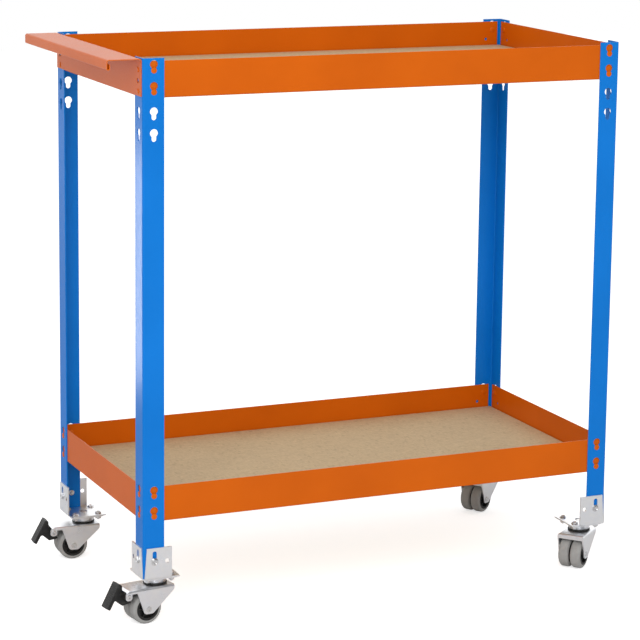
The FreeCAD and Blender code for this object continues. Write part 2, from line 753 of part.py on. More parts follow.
# Forks: a folded yoke over the wheels, with a race ring on top. A plain fork has a lip across its rear,
# and a braked one has two hooked ears there.
channel_points = [
    ("-fork_outside", "0"),
    ("-fork_outside", "fork_top", "fork_bend + fork_sheet"),
    ("fork_outside", "fork_top", "fork_bend + fork_sheet"),
    ("fork_outside", "0"),
    ("fork_inside", "0"),
    ("fork_inside", "fork_roof", "fork_bend"),
    ("-fork_inside", "fork_roof", "fork_bend"),
    ("-fork_inside", "0"),
]
channel_length = "2 * (trail + pivot_back + fork_rear)"
fork_channel = drawn("fork_channel", "YZ_Plane", channel_points, channel_length)
rear_lip = box("fork_rear_lip", "-fork_rear", "-fork_inside - fork_sheet / 2", "fork_top - fork_cheek",
               "fork_sheet", "2 * fork_inside + fork_sheet", "fork_cheek - fork_sheet / 2")
lipped_channel = fuse("fork_lipped_channel", [fork_channel, rear_lip])


def make_fork(name, braked):
    cheek = "fork_top - fork_cheek"
    toe = "axle_height - toe_drop"
    points = [
        ("fork_front", "fork_top"),
        ("fork_front", cheek, "cheek_round"),
        ("-trail + toe_width / 2", toe, "toe_round"),
        ("-trail - toe_width / 2", toe, "toe_round"),
    ]
    if braked:
        points += [
            ("-trail - cheek_back", "fork_top - arm_height"),
            ("pivot_x + ear_half", "fork_top - arm_height"),
            ("pivot_x + ear_half", "pivot_z - ear_half", "ear_round"),
            ("pivot_x - ear_half", "pivot_z - ear_half", "ear_round"),
            ("pivot_x - ear_half", "pivot_z + ear_half", "ear_round"),
            ("pivot_x + fork_sheet", "fork_top"),
        ]
    else:
        points += [("-fork_rear", cheek), ("-fork_rear", "fork_top", "fork_bend + fork_sheet")]
    cheeks = drawn(name + "_cheeks", "XZ_Plane", points, "2 * fork_outside")
    yoke = doc.addObject("Part::Common", name + "_yoke")
    yoke.Base = cheeks
    yoke.Tool = fork_channel if braked else lipped_channel
    ring = rod(name + "_ring", "fork_race_width / 2", "fork_race_height", z="fork_top")
    whole = fuse(name + "_whole", [yoke, ring])
    through = "fork_outside + drill_reach"
    cutters = [
        rod(name + "_king_hole", "(king_pin + running_play) / 2", "fork_top + fork_race_height + drill_reach"),
        bore(name + "_axle_hole", "axle", "-trail", "0", "axle_height", FACING_FRONT, through),
    ]
    if braked:
        cutters.append(bore(name + "_pin_hole", "pedal_pin", "pivot_x", "0", "pivot_z", FACING_FRONT, through))
    return cut(name, whole, cutters)


fork_plain = make_fork("fork_plain", False)
fork_braked = make_fork("fork_braked", True)


# Axles and pedal pins: headed at both ends, outside the fork
def make_cross_pin(name, diameter, head, head_height):
    half = "%s / 2" % diameter
    rim = "%s / 2" % head
    face = "fork_outside + %s" % head_height
    soft = "%s / 2 - %s / 2" % (head, head_height)
    points = [
        ("0", "-(%s)" % face),
        (soft, "-(%s)" % face),
        (rim, "-(fork_outside + %s / 2)" % head_height),
        (rim, "-fork_outside"),
        (half, "-fork_outside"),
        (half, "fork_outside"),
        (rim, "fork_outside"),
        (rim, "fork_outside + %s / 2" % head_height),
        (soft, face),
        ("0", face),
    ]
    return turned(name, "XY_Plane", points)


axle = make_cross_pin("axle_pin", "axle", "axle_head", "axle_head_height")
pedal_pin = make_cross_pin("pedal_pin", "pedal_pin", "pedal_pin_head", "pedal_pin_head_height")

# Wheels: a moulded core with a boss, a web and a rim, and a soft tyre over the rim
core_inside = "(axle + running_play) / 2"
core_rim = "tyre_inside - hub_rim"
hub_points = [
    (core_inside, "-hub_length / 2"),
    ("hub_boss / 2", "-hub_length / 2"),
    ("hub_boss / 2", "-hub_web / 2"),
    (core_rim, "-hub_web / 2"),
    (core_rim, "-tyre_width / 2"),
    ("tyre_inside", "-tyre_width / 2"),
    ("tyre_inside", "tyre_width / 2"),
    (core_rim, "tyre_width / 2"),
    (core_rim, "hub_web / 2"),
    ("hub_boss / 2", "hub_web / 2"),
    ("hub_boss / 2", "hub_length / 2"),
    (core_inside, "hub_length / 2"),
]
hub = turned("wheel_hub", "XY_Plane", hub_points)
tyre_points = [
    ("tyre_inside + tyre_play", "-tyre_width / 2"),
    ("wheel_diameter / 2", "-tyre_width / 2", "tyre_shoulder"),
    ("wheel_diameter / 2", "tyre_width / 2", "tyre_shoulder"),
    ("tyre_inside + tyre_play", "tyre_width / 2"),
]
tyre = turned("wheel_tyre", "XY_Plane", tyre_points)

# Brake pedals: a hub on the pin, a sloping foot pad behind it and a shoe that swings to the tyres
pad_web_run = "(pad_foot_drop + pad_down - pad_web_drop) * pad_down / pad_in"
pedal_points = [
    ("-pad_top_back", "pad_top_rise"),
    ("-pad_foot_back", "-pad_foot_drop"),
    ("-pad_foot_back + pad_in", "-pad_foot_drop - pad_down"),
    ("-pad_foot_back + pad_in + " + pad_web_run, "-pad_web_drop"),
    ("-shoe_heel_back", "-shoe_heel_drop"),
    ("shoe_reach * cos(shoe_angle)", "-shoe_reach * sin(shoe_angle)"),
    ("pedal_hub / 2", "-pedal_hub / 4"),
    ("pedal_hub / 4", "pedal_crown"),
    ("-pedal_neck", "pedal_crown"),
    ("-pad_top_back + pad_in", "pad_top_rise - pad_down"),
]
pedal_slab = drawn("pedal_slab", "XZ_Plane", pedal_points, "pedal_width")
pedal_barrel = rod("pedal_barrel", "pedal_hub / 2", "2 * (fork_inside - pedal_side_play)",
                   y="fork_inside - pedal_side_play", turn=FACING_FRONT)
pedal_whole = fuse("pedal_whole", [pedal_slab, pedal_barrel])
pedal_bore = bore("pedal_bore", "pedal_pin + running_play", "0", "0", "0", FACING_FRONT, "fork_outside")
pedal = cut("pedal", pedal_whole, [pedal_bore])

# The swivelling half of each caster, at its own angle
at_axle = ("-trail", "0", "axle_height")
at_wheel_1 = ("-trail", "-(wheel_middle)", "axle_height")
at_wheel_2 = ("-trail", "wheel_middle", "axle_height")
at_pivot = ("pivot_x", "0", "pivot_z")
plain_pieces = {
    "axle": copy("axle_in_fork", axle, *at_axle),
    "hub_1": copy("hub_1_in_fork", hub, *at_wheel_1),
    "hub_2": copy("hub_2_in_fork", hub, *at_wheel_2),
    "tyre_1": copy("tyre_1_in_fork", tyre, *at_wheel_1),
    "tyre_2": copy("tyre_2_in_fork", tyre, *at_wheel_2),
}
brake_pieces = {
    "brake_pedal": copy("pedal_in_fork", pedal, *at_pivot),
    "brake_pin": copy("pin_in_fork", pedal_pin, *at_pivot),
}
for corner, (turn, sign_x, sign_y) in CORNERS.items():
    pieces = dict(plain_pieces)
    pieces["fork"] = fork_braked if corner in BRAKED else fork_plain
    if corner in BRAKED:
        pieces.update(brake_pieces)
    for piece, master in pieces.items():
        name = "%s_%s" % (piece, corner)
        swivelled = corner_copy(name, master, corner, "king_inset")
        swivelled.setExpression("Placement.Rotation.Angle", bound("swivel_" + corner))
        nodes[name] = swivelled

# Build, test and write every piece
doc.recompute()
failed = [item.Label for item in doc.Objects if {"Invalid", "Error"} & set(item.State)]
if failed:
    raise RuntimeError("these pieces failed to build: " + ", ".join(failed))
for name, node in nodes.items():
    node.Label = name
    if node.Shape.isNull() or not node.Shape.isValid() or not node.Shape.Solids:
        raise RuntimeError("this piece has no sound solid: " + name)

os.makedirs("parts", exist_ok=True)
for name, node in nodes.items():
    solids = node.Shape.Solids
    whole = solids[0] if len(solids) == 1 else Part.makeCompound(solids)
    whole.exportStep("parts/%s.step" % name)
print("pieces written:", len(nodes))
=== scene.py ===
# %% [markdown]
# # A mobile workbench, dressed around its CAD frame
# The bench is a boltless trolley: slotted blue posts, orange tray beams, chipboard decks, a folded push
# handle and four small casters with twin wheels. The CAD model already has every sheet, hole and wheel in
# its real size, so Blender keeps those solids and gives them finishes, and only the small moulded, pressed
# and threaded details are modelled here. Each step says what the real piece is, how it could be made, and
# why this way was chosen. The frame of the CAD model holds throughout: metres, Z up, the handle on -X. Only
# small details are drawn and placed in millimetres.

# %% Load the frame
import json
import math

import bmesh
import bpy
from mathutils import Matrix, Vector


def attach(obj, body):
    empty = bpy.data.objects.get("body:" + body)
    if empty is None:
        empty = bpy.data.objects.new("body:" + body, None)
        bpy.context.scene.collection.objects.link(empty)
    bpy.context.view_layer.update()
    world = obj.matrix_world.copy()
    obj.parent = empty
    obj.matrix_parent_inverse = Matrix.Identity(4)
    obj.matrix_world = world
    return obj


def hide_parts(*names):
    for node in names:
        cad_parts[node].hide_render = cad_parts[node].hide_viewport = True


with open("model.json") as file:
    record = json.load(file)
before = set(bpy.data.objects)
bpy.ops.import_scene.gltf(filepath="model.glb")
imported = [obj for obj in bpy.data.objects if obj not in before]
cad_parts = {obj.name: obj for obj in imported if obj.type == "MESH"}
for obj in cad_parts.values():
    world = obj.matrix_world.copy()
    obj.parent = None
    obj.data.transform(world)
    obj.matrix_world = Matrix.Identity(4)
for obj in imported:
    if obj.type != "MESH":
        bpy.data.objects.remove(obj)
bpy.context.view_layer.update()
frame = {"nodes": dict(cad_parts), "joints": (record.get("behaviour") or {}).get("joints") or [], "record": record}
nodes = frame["nodes"]
scene = bpy.context.scene

# %% [markdown]
# ## The camera
# The photograph was taken from the front left with a long lens, a little above the upper deck. The camera
# could be aimed with a constraint at a point, but the picture is cropped off-centre and slightly tilted, so
# its spot and its three turns are set directly, and the crop is the lens shift.

# %% Place the camera
CAMERA_SPOT = Vector((-1.930, -4.305, 1.505))
TURN_RIGHT = math.radians(24.51)
TILT_DOWN = math.radians(10.43)
ROLL = math.radians(0.8)
LENS_MM = 140.7
LENS_SHIFT = (-0.0469, -0.125)

ahead = Vector((math.sin(TURN_RIGHT) * math.cos(TILT_DOWN), math.cos(TURN_RIGHT) * math.cos(TILT_DOWN),
                -math.sin(TILT_DOWN)))
level = Vector((math.cos(TURN_RIGHT), -math.sin(TURN_RIGHT), 0))
above = level.cross(ahead)
right = math.cos(ROLL) * level + math.sin(ROLL) * above
up = math.cos(ROLL) * above - math.sin(ROLL) * level

camera_data = bpy.data.cameras.new("camera")
camera_data.lens = LENS_MM
camera_data.shift_x, camera_data.shift_y = LENS_SHIFT
camera = bpy.data.objects.new("camera", camera_data)
camera.matrix_world = Matrix.Translation(CAMERA_SPOT) @ Matrix((right, up, -ahead)).transposed().to_4x4()
scene.collection.objects.link(camera)
bpy.context.scene.camera = camera
print("camera to bench:", round(CAMERA_SPOT.length, 2), "m")

# %% [markdown]
# ## Building shader trees
# A finish is a tree of shader nodes. Trees can be clicked together in the editor, but then nobody can read
# why a number is there. In a script, a helper that adds a node, sets its options and fills its inputs keeps
# each material readable from top to bottom.


# %% Add a node
def fill_inputs(tree, node, inputs):
    """Fill inputs of a node: the socket of another node is linked, any other value is set."""
    for name, value in inputs.items():
        if isinstance(value, bpy.types.NodeSocket):
            tree.links.new(value, node.inputs[name])
        else:
            node.inputs[name].default_value = value


def add_node(tree, kind, options=None, inputs=None):
    """Add a node, set its options and fill its inputs."""
    made = tree.nodes.new(kind)
    for name, value in (options or {}).items():
        setattr(made, name, value)
    fill_inputs(tree, made, inputs or {})
    return made


def math_node(tree, operation, first, second=0.0):
    inputs = {0: first, 1: second}
    return add_node(tree, "ShaderNodeMath", {"operation": operation}, inputs).outputs["Value"]


def remap(tree, value, low, high, to_low=0.0, to_high=1.0):
    """Carry a value from one range to another, and hold it at the ends."""
    inputs = {"Value": value, "From Min": low, "From Max": high, "To Min": to_low, "To Max": to_high}
    return add_node(tree, "ShaderNodeMapRange", None, inputs).outputs["Result"]


print("ready:", add_node.__name__, math_node.__name__, remap.__name__)

# %% Colours, noise and coordinates
MIX_FACTOR, MIX_FIRST, MIX_SECOND, MIX_RESULT = 0, 6, 7, 2


def rgba(red, green, blue):
    return (red, green, blue, 1.0)


def mix_colour(tree, factor, first, second):
    inputs = {MIX_FACTOR: factor, MIX_FIRST: first, MIX_SECOND: second}
    return add_node(tree, "ShaderNodeMix", {"data_type": "RGBA"}, inputs).outputs[MIX_RESULT]


def tint(tree, tone, mask, share, colour):
    """Mix a colour into a tone, by a share of a mask."""
    return mix_colour(tree, math_node(tree, "MULTIPLY", mask, share), tone, colour)


def noise(tree, place, scale, detail, roughness):
    inputs = {"Vector": place, "Scale": scale, "Detail": detail, "Roughness": roughness}
    return add_node(tree, "ShaderNodeTexNoise", None, inputs).outputs["Fac"]


def piece_place(tree):
    """Coordinates in metres that stay on a piece when its body moves."""
    return add_node(tree, "ShaderNodeTexCoord").outputs["Object"]


print("ready:", mix_colour.__name__, tint.__name__, noise.__name__, piece_place.__name__)

# %% [markdown]
# ## Groups of nodes
# Powder coat, zinc, rubber and plastic all show the same few effects at different strengths. Each effect
# could be built again in every material. Instead it is one node group with inputs of its own, and a finish
# only says how much of it there is.


# %% Start and place a node group
def start_group(name, inputs, outputs):
    """Start a shader node group of numbers: inputs are names with defaults, outputs are names."""
    tree = bpy.data.node_groups.new(name, "ShaderNodeTree")
    for socket_name, value in inputs.items():
        socket = tree.interface.new_socket(socket_name, in_out="INPUT", socket_type="NodeSocketFloat")
        socket.default_value = value
    for socket_name in outputs:
        tree.interface.new_socket(socket_name, in_out="OUTPUT", socket_type="NodeSocketFloat")
    return tree, tree.nodes.new("NodeGroupInput").outputs, tree.nodes.new("NodeGroupOutput").inputs


def with_spaces(values):
    """Socket names have spaces where the names of values have underscores."""
    return {name.replace("_", " "): value for name, value in values.items()}


def place_group(tree, group, **values):
    """Place a group in a material, with values of its own."""
    return add_node(tree, "ShaderNodeGroup", {"node_tree": group}, with_spaces(values)).outputs


print("ready:", start_group.__name__, place_group.__name__)

# %% [markdown]
# ## Drift and grain
# No real surface has quite the same colour and gloss all over. A picture of one could be laid on, but it
# would repeat and stretch. A slow noise gives the drift of tone and a fine one the grain in the gloss. Both
# are in the coordinates of the piece, so they stay on it when it moves.

# %% Surface drift and grain
CLOUD_CONTRAST, GRAIN_CONTRAST = (0.3, 0.7), (0.35, 0.65)

drift_group, given, result = start_group(
    "surface_drift", {"Clouds per metre": 6.0, "Grains per metre": 900.0}, ("Cloud", "Grain", "Height"))
place = piece_place(drift_group)
cloud = noise(drift_group, place, given["Clouds per metre"], detail=3.0, roughness=0.55)
grain = noise(drift_group, place, given["Grains per metre"], detail=2.0, roughness=0.6)
drift_group.links.new(remap(drift_group, cloud, *CLOUD_CONTRAST), result["Cloud"])
drift_group.links.new(remap(drift_group, grain, *GRAIN_CONTRAST), result["Grain"])
drift_group.links.new(grain, result["Height"])
print("group:", drift_group.name)

# %% [markdown]
# ## Worn and highlit edges
# A coat wears first on the edges of a sheet, where hands and boxes rub. The paler tone that the finishes give
# the edges is partly that wear and partly a painted highlight. Wear could be painted on by hand, but the bench
# has hundreds of edges. The bevel node gives the normal of a surface with rounded edges. Where it leaves the
# true normal there is an edge, and a patchy noise breaks the edge up.

# %% Worn and highlit edges
FLAT_TO_EDGE = (0.995, 0.85)
PATCH_CONTRAST = (0.42, 0.62)

edge_group, given, result = start_group(
    "wear_and_highlight_edges", {"Edge radius": 0.0008, "Patches per metre": 90.0}, ("Mask",))
soft_normal = add_node(edge_group, "ShaderNodeBevel", {"samples": 4}, {"Radius": given["Edge radius"]})
true_normal = add_node(edge_group, "ShaderNodeNewGeometry").outputs["True Normal"]
agreement = add_node(edge_group, "ShaderNodeVectorMath", {"operation": "DOT_PRODUCT"},
                     {0: soft_normal.outputs["Normal"], 1: true_normal}).outputs["Value"]
edge = remap(edge_group, agreement, *FLAT_TO_EDGE)
patches = noise(edge_group, piece_place(edge_group), given["Patches per metre"], detail=3.0, roughness=0.6)
# The finishes paint the edges found here paler: partly wear, partly a painted highlight.
edge_wear_and_highlight = math_node(edge_group, "MULTIPLY", edge, remap(edge_group, patches, *PATCH_CONTRAST))
edge_group.links.new(edge_wear_and_highlight, result["Mask"])
print("group:", edge_group.name)

# %% [markdown]
# ## Settled dust
# Workshop dust lies on whatever looks up. It could be a layer of its own, but it is far too thin to show one.
# So the upward share of the normal, broken up by a noise, is a mask of where it lies.

# %% Settled dust
DUST_SLOPE = (0.5, 1.0)
DUST_CONTRAST = (0.4, 0.75)

dust_group, given, result = start_group("settled_dust", {"Patches per metre": 14.0}, ("Mask",))
outward = add_node(dust_group, "ShaderNodeNewGeometry").outputs["Normal"]
upward = add_node(dust_group, "ShaderNodeSeparateXYZ", None, {"Vector": outward}).outputs["Z"]
thick = noise(dust_group, piece_place(dust_group), given["Patches per metre"], detail=5.0, roughness=0.7)
lying = math_node(dust_group, "MULTIPLY", remap(dust_group, upward, *DUST_SLOPE),
                  remap(dust_group, thick, *DUST_CONTRAST))
dust_group.links.new(lying, result["Mask"])
print("group:", dust_group.name)

# %% [markdown]
# ## Powder coat
# The posts, beams and handle are sprayed with polyester powder and baked. The coat is satin, with a faint
# orange-peel texture, and it thins on sharp edges. A plain glossy colour would look like plastic, so the tone
# drifts a little, the peel is a bump, and the edges go paler, partly as wear and partly as a painted highlight.


# %% Start a material
def start_material(name):
    """A new material with its node tree and its shader."""
    material = bpy.data.materials.new(name)
    material.use_nodes = True
    tree = material.node_tree
    return material, tree, tree.nodes["Principled BSDF"]


def fill_shader(tree, shader, **values):
    fill_inputs(tree, shader, with_spaces(values))


def bump(tree, height, strength, depth):
    """A normal from a height, with the depth of the relief in metres."""
    inputs = {"Height": height, "Strength": strength, "Distance": depth}
    return add_node(tree, "ShaderNodeBump", None, inputs).outputs["Normal"]


print("ready:", start_material.__name__, fill_shader.__name__, bump.__name__)

# %% Make the two powder coats
DUST = rgba(0.46, 0.43, 0.39)
# Share of the paler edge tone: partly wear, partly a painted highlight.
COAT_WEAR_AND_HIGHLIGHT, COAT_DUSTY = 0.45, 0.06
COAT_ROUGHNESS, COAT_SHINE = (0.30, 0.40), 0.12
PEEL_STRENGTH, PEEL_DEPTH = 0.12, 0.0003


def powder_coat(name, deep, bright, wear_and_highlight_tone):
    """A coat that drifts from a deep to a bright tone, and goes paler on its edges: wear and a painted highlight.
    """
    material, tree, shader = start_material(name)
    drift = place_group(tree, drift_group, Clouds_per_metre=5.0, Grains_per_metre=700.0)
    edge_wear_and_highlight = place_group(tree, edge_group, Edge_radius=0.0007, Patches_per_metre=70.0)["Mask"]
    dust = place_group(tree, dust_group, Patches_per_metre=16.0)["Mask"]
    tone = mix_colour(tree, drift["Cloud"], deep, bright)
    # Painted highlight and wear: the edges go to a brighter tone of the coat.
    tone = tint(tree, tone, edge_wear_and_highlight, COAT_WEAR_AND_HIGHLIGHT, wear_and_highlight_tone)
    tone = tint(tree, tone, dust, COAT_DUSTY, DUST)
    fill_shader(tree, shader, Base_Color=tone, Specular_IOR_Level=COAT_SHINE,
                Roughness=remap(tree, drift["Grain"], 0.0, 1.0, *COAT_ROUGHNESS),
                Normal=bump(tree, drift["Height"], PEEL_STRENGTH, PEEL_DEPTH))
    return material


blue_coat = powder_coat("blue_powder_coat", deep=rgba(0.002, 0.175, 0.61), bright=rgba(0.004, 0.200, 0.69),
                        wear_and_highlight_tone=rgba(0.10, 0.36, 0.78))
orange_coat = powder_coat("orange_powder_coat", deep=rgba(0.60, 0.105, 0.0008),
                          bright=rgba(0.68, 0.125, 0.0015), wear_and_highlight_tone=rgba(0.85, 0.36, 0.10))
print("made:", blue_coat.name, orange_coat.name)

# %% [markdown]
# ## Chipboard
# The decks are raw chipboard: pressed flakes of a few millimetres, finer at the faces and coarser in the
# core, with a dark bark fleck here and there. Flakes could be scattered as geometry, but they are flat and
# sanded, so cell textures of several sizes give their colours, and the edges take the coarse ones.


# %% Lay the flakes
def flakes(tree, place, per_metre, stretch, turn_degrees):
    """A random tone for each flake: cells that are stretched along one direction."""
    mapping = add_node(tree, "ShaderNodeMapping", None,
                       {"Vector": place, "Rotation": (0, 0, math.radians(turn_degrees)), "Scale": stretch})
    cells = add_node(tree, "ShaderNodeTexVoronoi", None,
                     {"Vector": mapping.outputs["Vector"], "Scale": per_metre})
    return add_node(tree, "ShaderNodeSeparateColor", None, {"Color": cells.outputs["Color"]}).outputs["Red"]


chipboard, tree, shader = start_material("raw_chipboard")
place = piece_place(tree)
fine_flakes = flakes(tree, place, 420.0, (1.0, 0.35, 1.0), 24)
cross_flakes = flakes(tree, place, 300.0, (0.4, 1.0, 1.0), -38)
core_flakes = flakes(tree, place, 190.0, (0.6, 0.6, 1.6), 0)
bark_flakes = flakes(tree, place, 260.0, (1.0, 0.5, 1.0), 70)
print("flakes laid:", len([node for node in tree.nodes if node.type == "TEX_VORONOI"]), "kinds")

# %% Press them into chipboard
FACE_DARK, FACE_PALE = rgba(0.485, 0.345, 0.185), rgba(0.645, 0.485, 0.283)
CORE_DARK, CORE_PALE = rgba(0.30, 0.20, 0.105), rgba(0.50, 0.37, 0.22)
SANDED, SANDED_SHARE = rgba(0.69, 0.53, 0.32), 0.22
BARK, BARK_SHARE, BARK_ABOVE = rgba(0.17, 0.10, 0.05), 0.18, 0.965
EDGE_TO_FACE = (0.4, 0.6)
BOARD_ROUGHNESS = (0.62, 0.78)
RELIEF_STRENGTH, RELIEF_DEPTH = 0.18, 0.0004

drift = place_group(tree, drift_group, Clouds_per_metre=9.0, Grains_per_metre=1500.0)
face_tone = math_node(tree, "ADD", math_node(tree, "MULTIPLY", fine_flakes, 0.5),
                      math_node(tree, "MULTIPLY", cross_flakes, 0.5))
outward = add_node(tree, "ShaderNodeNewGeometry").outputs["True Normal"]
upward = add_node(tree, "ShaderNodeSeparateXYZ", None, {"Vector": outward}).outputs["Z"]
flat_face = remap(tree, math_node(tree, "ABSOLUTE", upward), *EDGE_TO_FACE)
face = mix_colour(tree, face_tone, FACE_DARK, FACE_PALE)
core = mix_colour(tree, core_flakes, CORE_DARK, CORE_PALE)
tone = mix_colour(tree, flat_face, core, face)
tone = tint(tree, tone, drift["Cloud"], SANDED_SHARE, SANDED)
tone = tint(tree, tone, math_node(tree, "GREATER_THAN", bark_flakes, BARK_ABOVE), BARK_SHARE, BARK)
relief = math_node(tree, "ADD", face_tone, drift["Height"])
fill_shader(tree, shader, Base_Color=tone, Roughness=remap(tree, face_tone, 0.0, 1.0, *BOARD_ROUGHNESS),
            Normal=bump(tree, relief, RELIEF_STRENGTH, RELIEF_DEPTH))
print("made:", chipboard.name)

# %% [markdown]
# ## Zinc
# The brackets and casters are pressed from sheet and zinc plated; the bolts are plated too. Plating is bright
# but not polished: clouds of slightly different gloss, fine draw lines from the press, and a bluish or
# yellowish tint that wanders. A plain mirror with some roughness would look like chrome, so the roughness and
# the tint follow the drift, and the draw lines are a noise stretched along the height.

# %% Make the zinc finishes
# Edge tone of the plating: partly rubbed zinc, partly a painted highlight on the edges.
ZINC_WEAR_AND_HIGHLIGHT_TONE, ZINC_WEAR_AND_HIGHLIGHT = rgba(0.86, 0.86, 0.86), 0.5
DRAW_STRETCH, DRAW_LINES = (1.0, 1.0, 0.06), 1400.0
DRAW_CONTRAST, DRAW_ROUGHNESS = (0.3, 0.7), (-0.04, 0.04)
DRAW_STRENGTH, DRAW_DEPTH = 0.06, 0.0002


def zinc(name, cool, warm, roughness):
    """Plating whose tint and gloss wander, with the draw lines of the press along the height."""
    material, tree, shader = start_material(name)
    drift = place_group(tree, drift_group, Clouds_per_metre=45.0, Grains_per_metre=2200.0)
    edge_wear_and_highlight = place_group(tree, edge_group, Edge_radius=0.0006, Patches_per_metre=160.0)["Mask"]
    drawn = add_node(tree, "ShaderNodeMapping", None, {"Vector": piece_place(tree), "Scale": DRAW_STRETCH})
    lines = noise(tree, drawn.outputs["Vector"], DRAW_LINES, detail=2.0, roughness=0.6)
    tone = mix_colour(tree, drift["Cloud"], cool, warm)
    # Painted highlight and wear: the edges go near white.
    tone = tint(tree, tone, edge_wear_and_highlight, ZINC_WEAR_AND_HIGHLIGHT, ZINC_WEAR_AND_HIGHLIGHT_TONE)
    gloss = math_node(tree, "ADD", remap(tree, drift["Cloud"], 0.0, 1.0, *roughness),
                      remap(tree, lines, *DRAW_CONTRAST, *DRAW_ROUGHNESS))
    fill_shader(tree, shader, Base_Color=tone, Metallic=1.0, Roughness=gloss,
                Normal=bump(tree, lines, DRAW_STRENGTH, DRAW_DEPTH))
    return material


zinc_sheet = zinc("zinc_plated_sheet", cool=rgba(0.79, 0.81, 0.85), warm=rgba(0.86, 0.86, 0.86),
                  roughness=(0.28, 0.42))
zinc_bolt = zinc("zinc_plated_bolts", cool=rgba(0.63, 0.64, 0.67), warm=rgba(0.74, 0.73, 0.70),
                 roughness=(0.22, 0.34))
print("made:", zinc_sheet.name, zinc_bolt.name)

# %% [markdown]
# ## Rubber and moulded plastic
# The tyres are grey non-marking rubber, matt and a little dusty. The wheel cores and brake pedals are black
# moulded plastic with a fine spark texture from the mould. They could be three separate trees, but they
# differ only in tone, gloss, grain and dust, so one function makes them all.

# %% Make the rubber and the plastics
# Share of the pale edge tone: partly scuffing, partly a painted highlight.
MOULDED_WEAR_AND_HIGHLIGHT, MOULDED_SHINE = 0.25, 0.35
SPARK_STRENGTH, SPARK_DEPTH = 0.2, 0.0002


def moulded(name, dark, light, roughness, grains, dustiness):
    """Rubber or plastic from a mould, with its grain given per metre."""
    material, tree, shader = start_material(name)
    drift = place_group(tree, drift_group, Clouds_per_metre=60.0, Grains_per_metre=grains)
    edge_wear_and_highlight = place_group(tree, edge_group, Edge_radius=0.0006, Patches_per_metre=200.0)["Mask"]
    dust = place_group(tree, dust_group, Patches_per_metre=120.0)["Mask"]
    tone = mix_colour(tree, drift["Cloud"], dark, light)
    # Painted highlight and wear: the edges take a pale dust tone.
    tone = tint(tree, tone, edge_wear_and_highlight, MOULDED_WEAR_AND_HIGHLIGHT, DUST)
    tone = tint(tree, tone, dust, dustiness, DUST)
    fill_shader(tree, shader, Base_Color=tone, Specular_IOR_Level=MOULDED_SHINE,
                Roughness=remap(tree, drift["Grain"], 0.0, 1.0, *roughness),
                Normal=bump(tree, drift["Height"], SPARK_STRENGTH, SPARK_DEPTH))
    return material


grey_rubber = moulded("grey_tyre_rubber", dark=rgba(0.31, 0.305, 0.295), light=rgba(0.38, 0.375, 0.365),
                      roughness=(0.55, 0.70), grains=1800.0, dustiness=0.15)
black_core = moulded("black_wheel_core", dark=rgba(0.010, 0.010, 0.010), light=rgba(0.018, 0.018, 0.018),
                     roughness=(0.36, 0.48), grains=2500.0, dustiness=0.06)
black_pedal = moulded("black_pedal", dark=rgba(0.007, 0.007, 0.007), light=rgba(0.013, 0.013, 0.013),
                      roughness=(0.42, 0.56), grains=2000.0, dustiness=0.08)
print("made:", grey_rubber.name, black_core.name, black_pedal.name)

# %% [markdown]
# ## Dress the CAD solids
# The solids arrive without finishes. These could be given to each piece by its name, but the record of the
# bench already gives each piece a material slot, so one table from slot to finish dresses every solid.

# %% Assign the finishes
FINISH = {
    "post_blue": blue_coat,
    "beam_orange": orange_coat,
    "chipboard": chipboard,
    "zinc_sheet": zinc_sheet,
    "fastener_steel": zinc_bolt,
    "tyre_grey": grey_rubber,
    "core_black": black_core,
    "pedal_black": black_pedal,
}
for part in frame["record"]["subparts"]:
    mesh = nodes[part["node"]].data
    mesh.materials.clear()
    mesh.materials.append(FINISH[part["material_slot"]])

# %% [markdown]
# ## Making new pieces
# Bolts, nuts, tyres and rivets are turned on the real bench. They could be started from Blender's cylinders,
# but every chamfer and groove would then be an edit. Here an outline of radius and height is spun about an
# axis, and the outline may change with the angle, which also gives hexagons and threads.

# %% Spin an outline
MM = 0.001


def spin(shape, outline_at, place, segments, closed=False):
    """Add a turned skin: outline_at(angle) gives its points of radius and height in millimetres there."""
    columns, poles = [], {}
    for step in range(segments):
        angle = 2 * math.pi * step / segments
        column = []
        for spot, (radius, height) in enumerate(outline_at(angle)):
            if radius > 0 or spot not in poles:
                point = Vector((radius * math.cos(angle), radius * math.sin(angle), height)) * MM
                poles[spot] = shape.verts.new(place @ point)
            column.append(poles[spot])
        columns.append(column)
    for here, there in zip(columns, columns[1:] + columns[:1]):
        for low in range(len(here) if closed else len(here) - 1):
            high = (low + 1) % len(here)
            corners = [here[low], there[low], there[high], here[high]]
            shape.faces.new(list(dict.fromkeys(corners)))


def turned(shape, outline, place, segments, closed=False):
    """Add a turned skin whose outline is the same all round."""
    spin(shape, lambda angle: outline, place, segments, closed)


print("ready:", spin.__name__, turned.__name__)

# %% Add a piece to the bench
SMOOTH_UP_TO = math.radians(32)


def add_piece(name, shape, body, slot, stands_for=()):
    """Make a piece from a shape: dressed, riding on a body, and standing for the CAD nodes named."""
    bmesh.ops.recalc_face_normals(shape, faces=shape.faces)
    mesh = bpy.data.meshes.new(name)
    shape.to_mesh(mesh)
    shape.free()
    mesh.shade_smooth()
    mesh.set_sharp_from_angle(angle=SMOOTH_UP_TO)
    mesh.materials.append(FINISH[slot])
    piece = bpy.data.objects.new(name, mesh)
    scene.collection.objects.link(piece)
    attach(piece, body)
    if stands_for:
        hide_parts(*stands_for)
    print("made:", name, len(mesh.vertices), "points")


def facing(spot, outward, twist=0.0):
    """A place at a spot in millimetres whose Z points outward."""
    turn = Vector(outward).to_track_quat("Z", "Y").to_matrix().to_4x4()
    return Matrix.Translation(Vector(spot) * MM) @ turn @ Matrix.Rotation(twist, 4, "Z")


print("ready:", add_piece.__name__, facing.__name__)

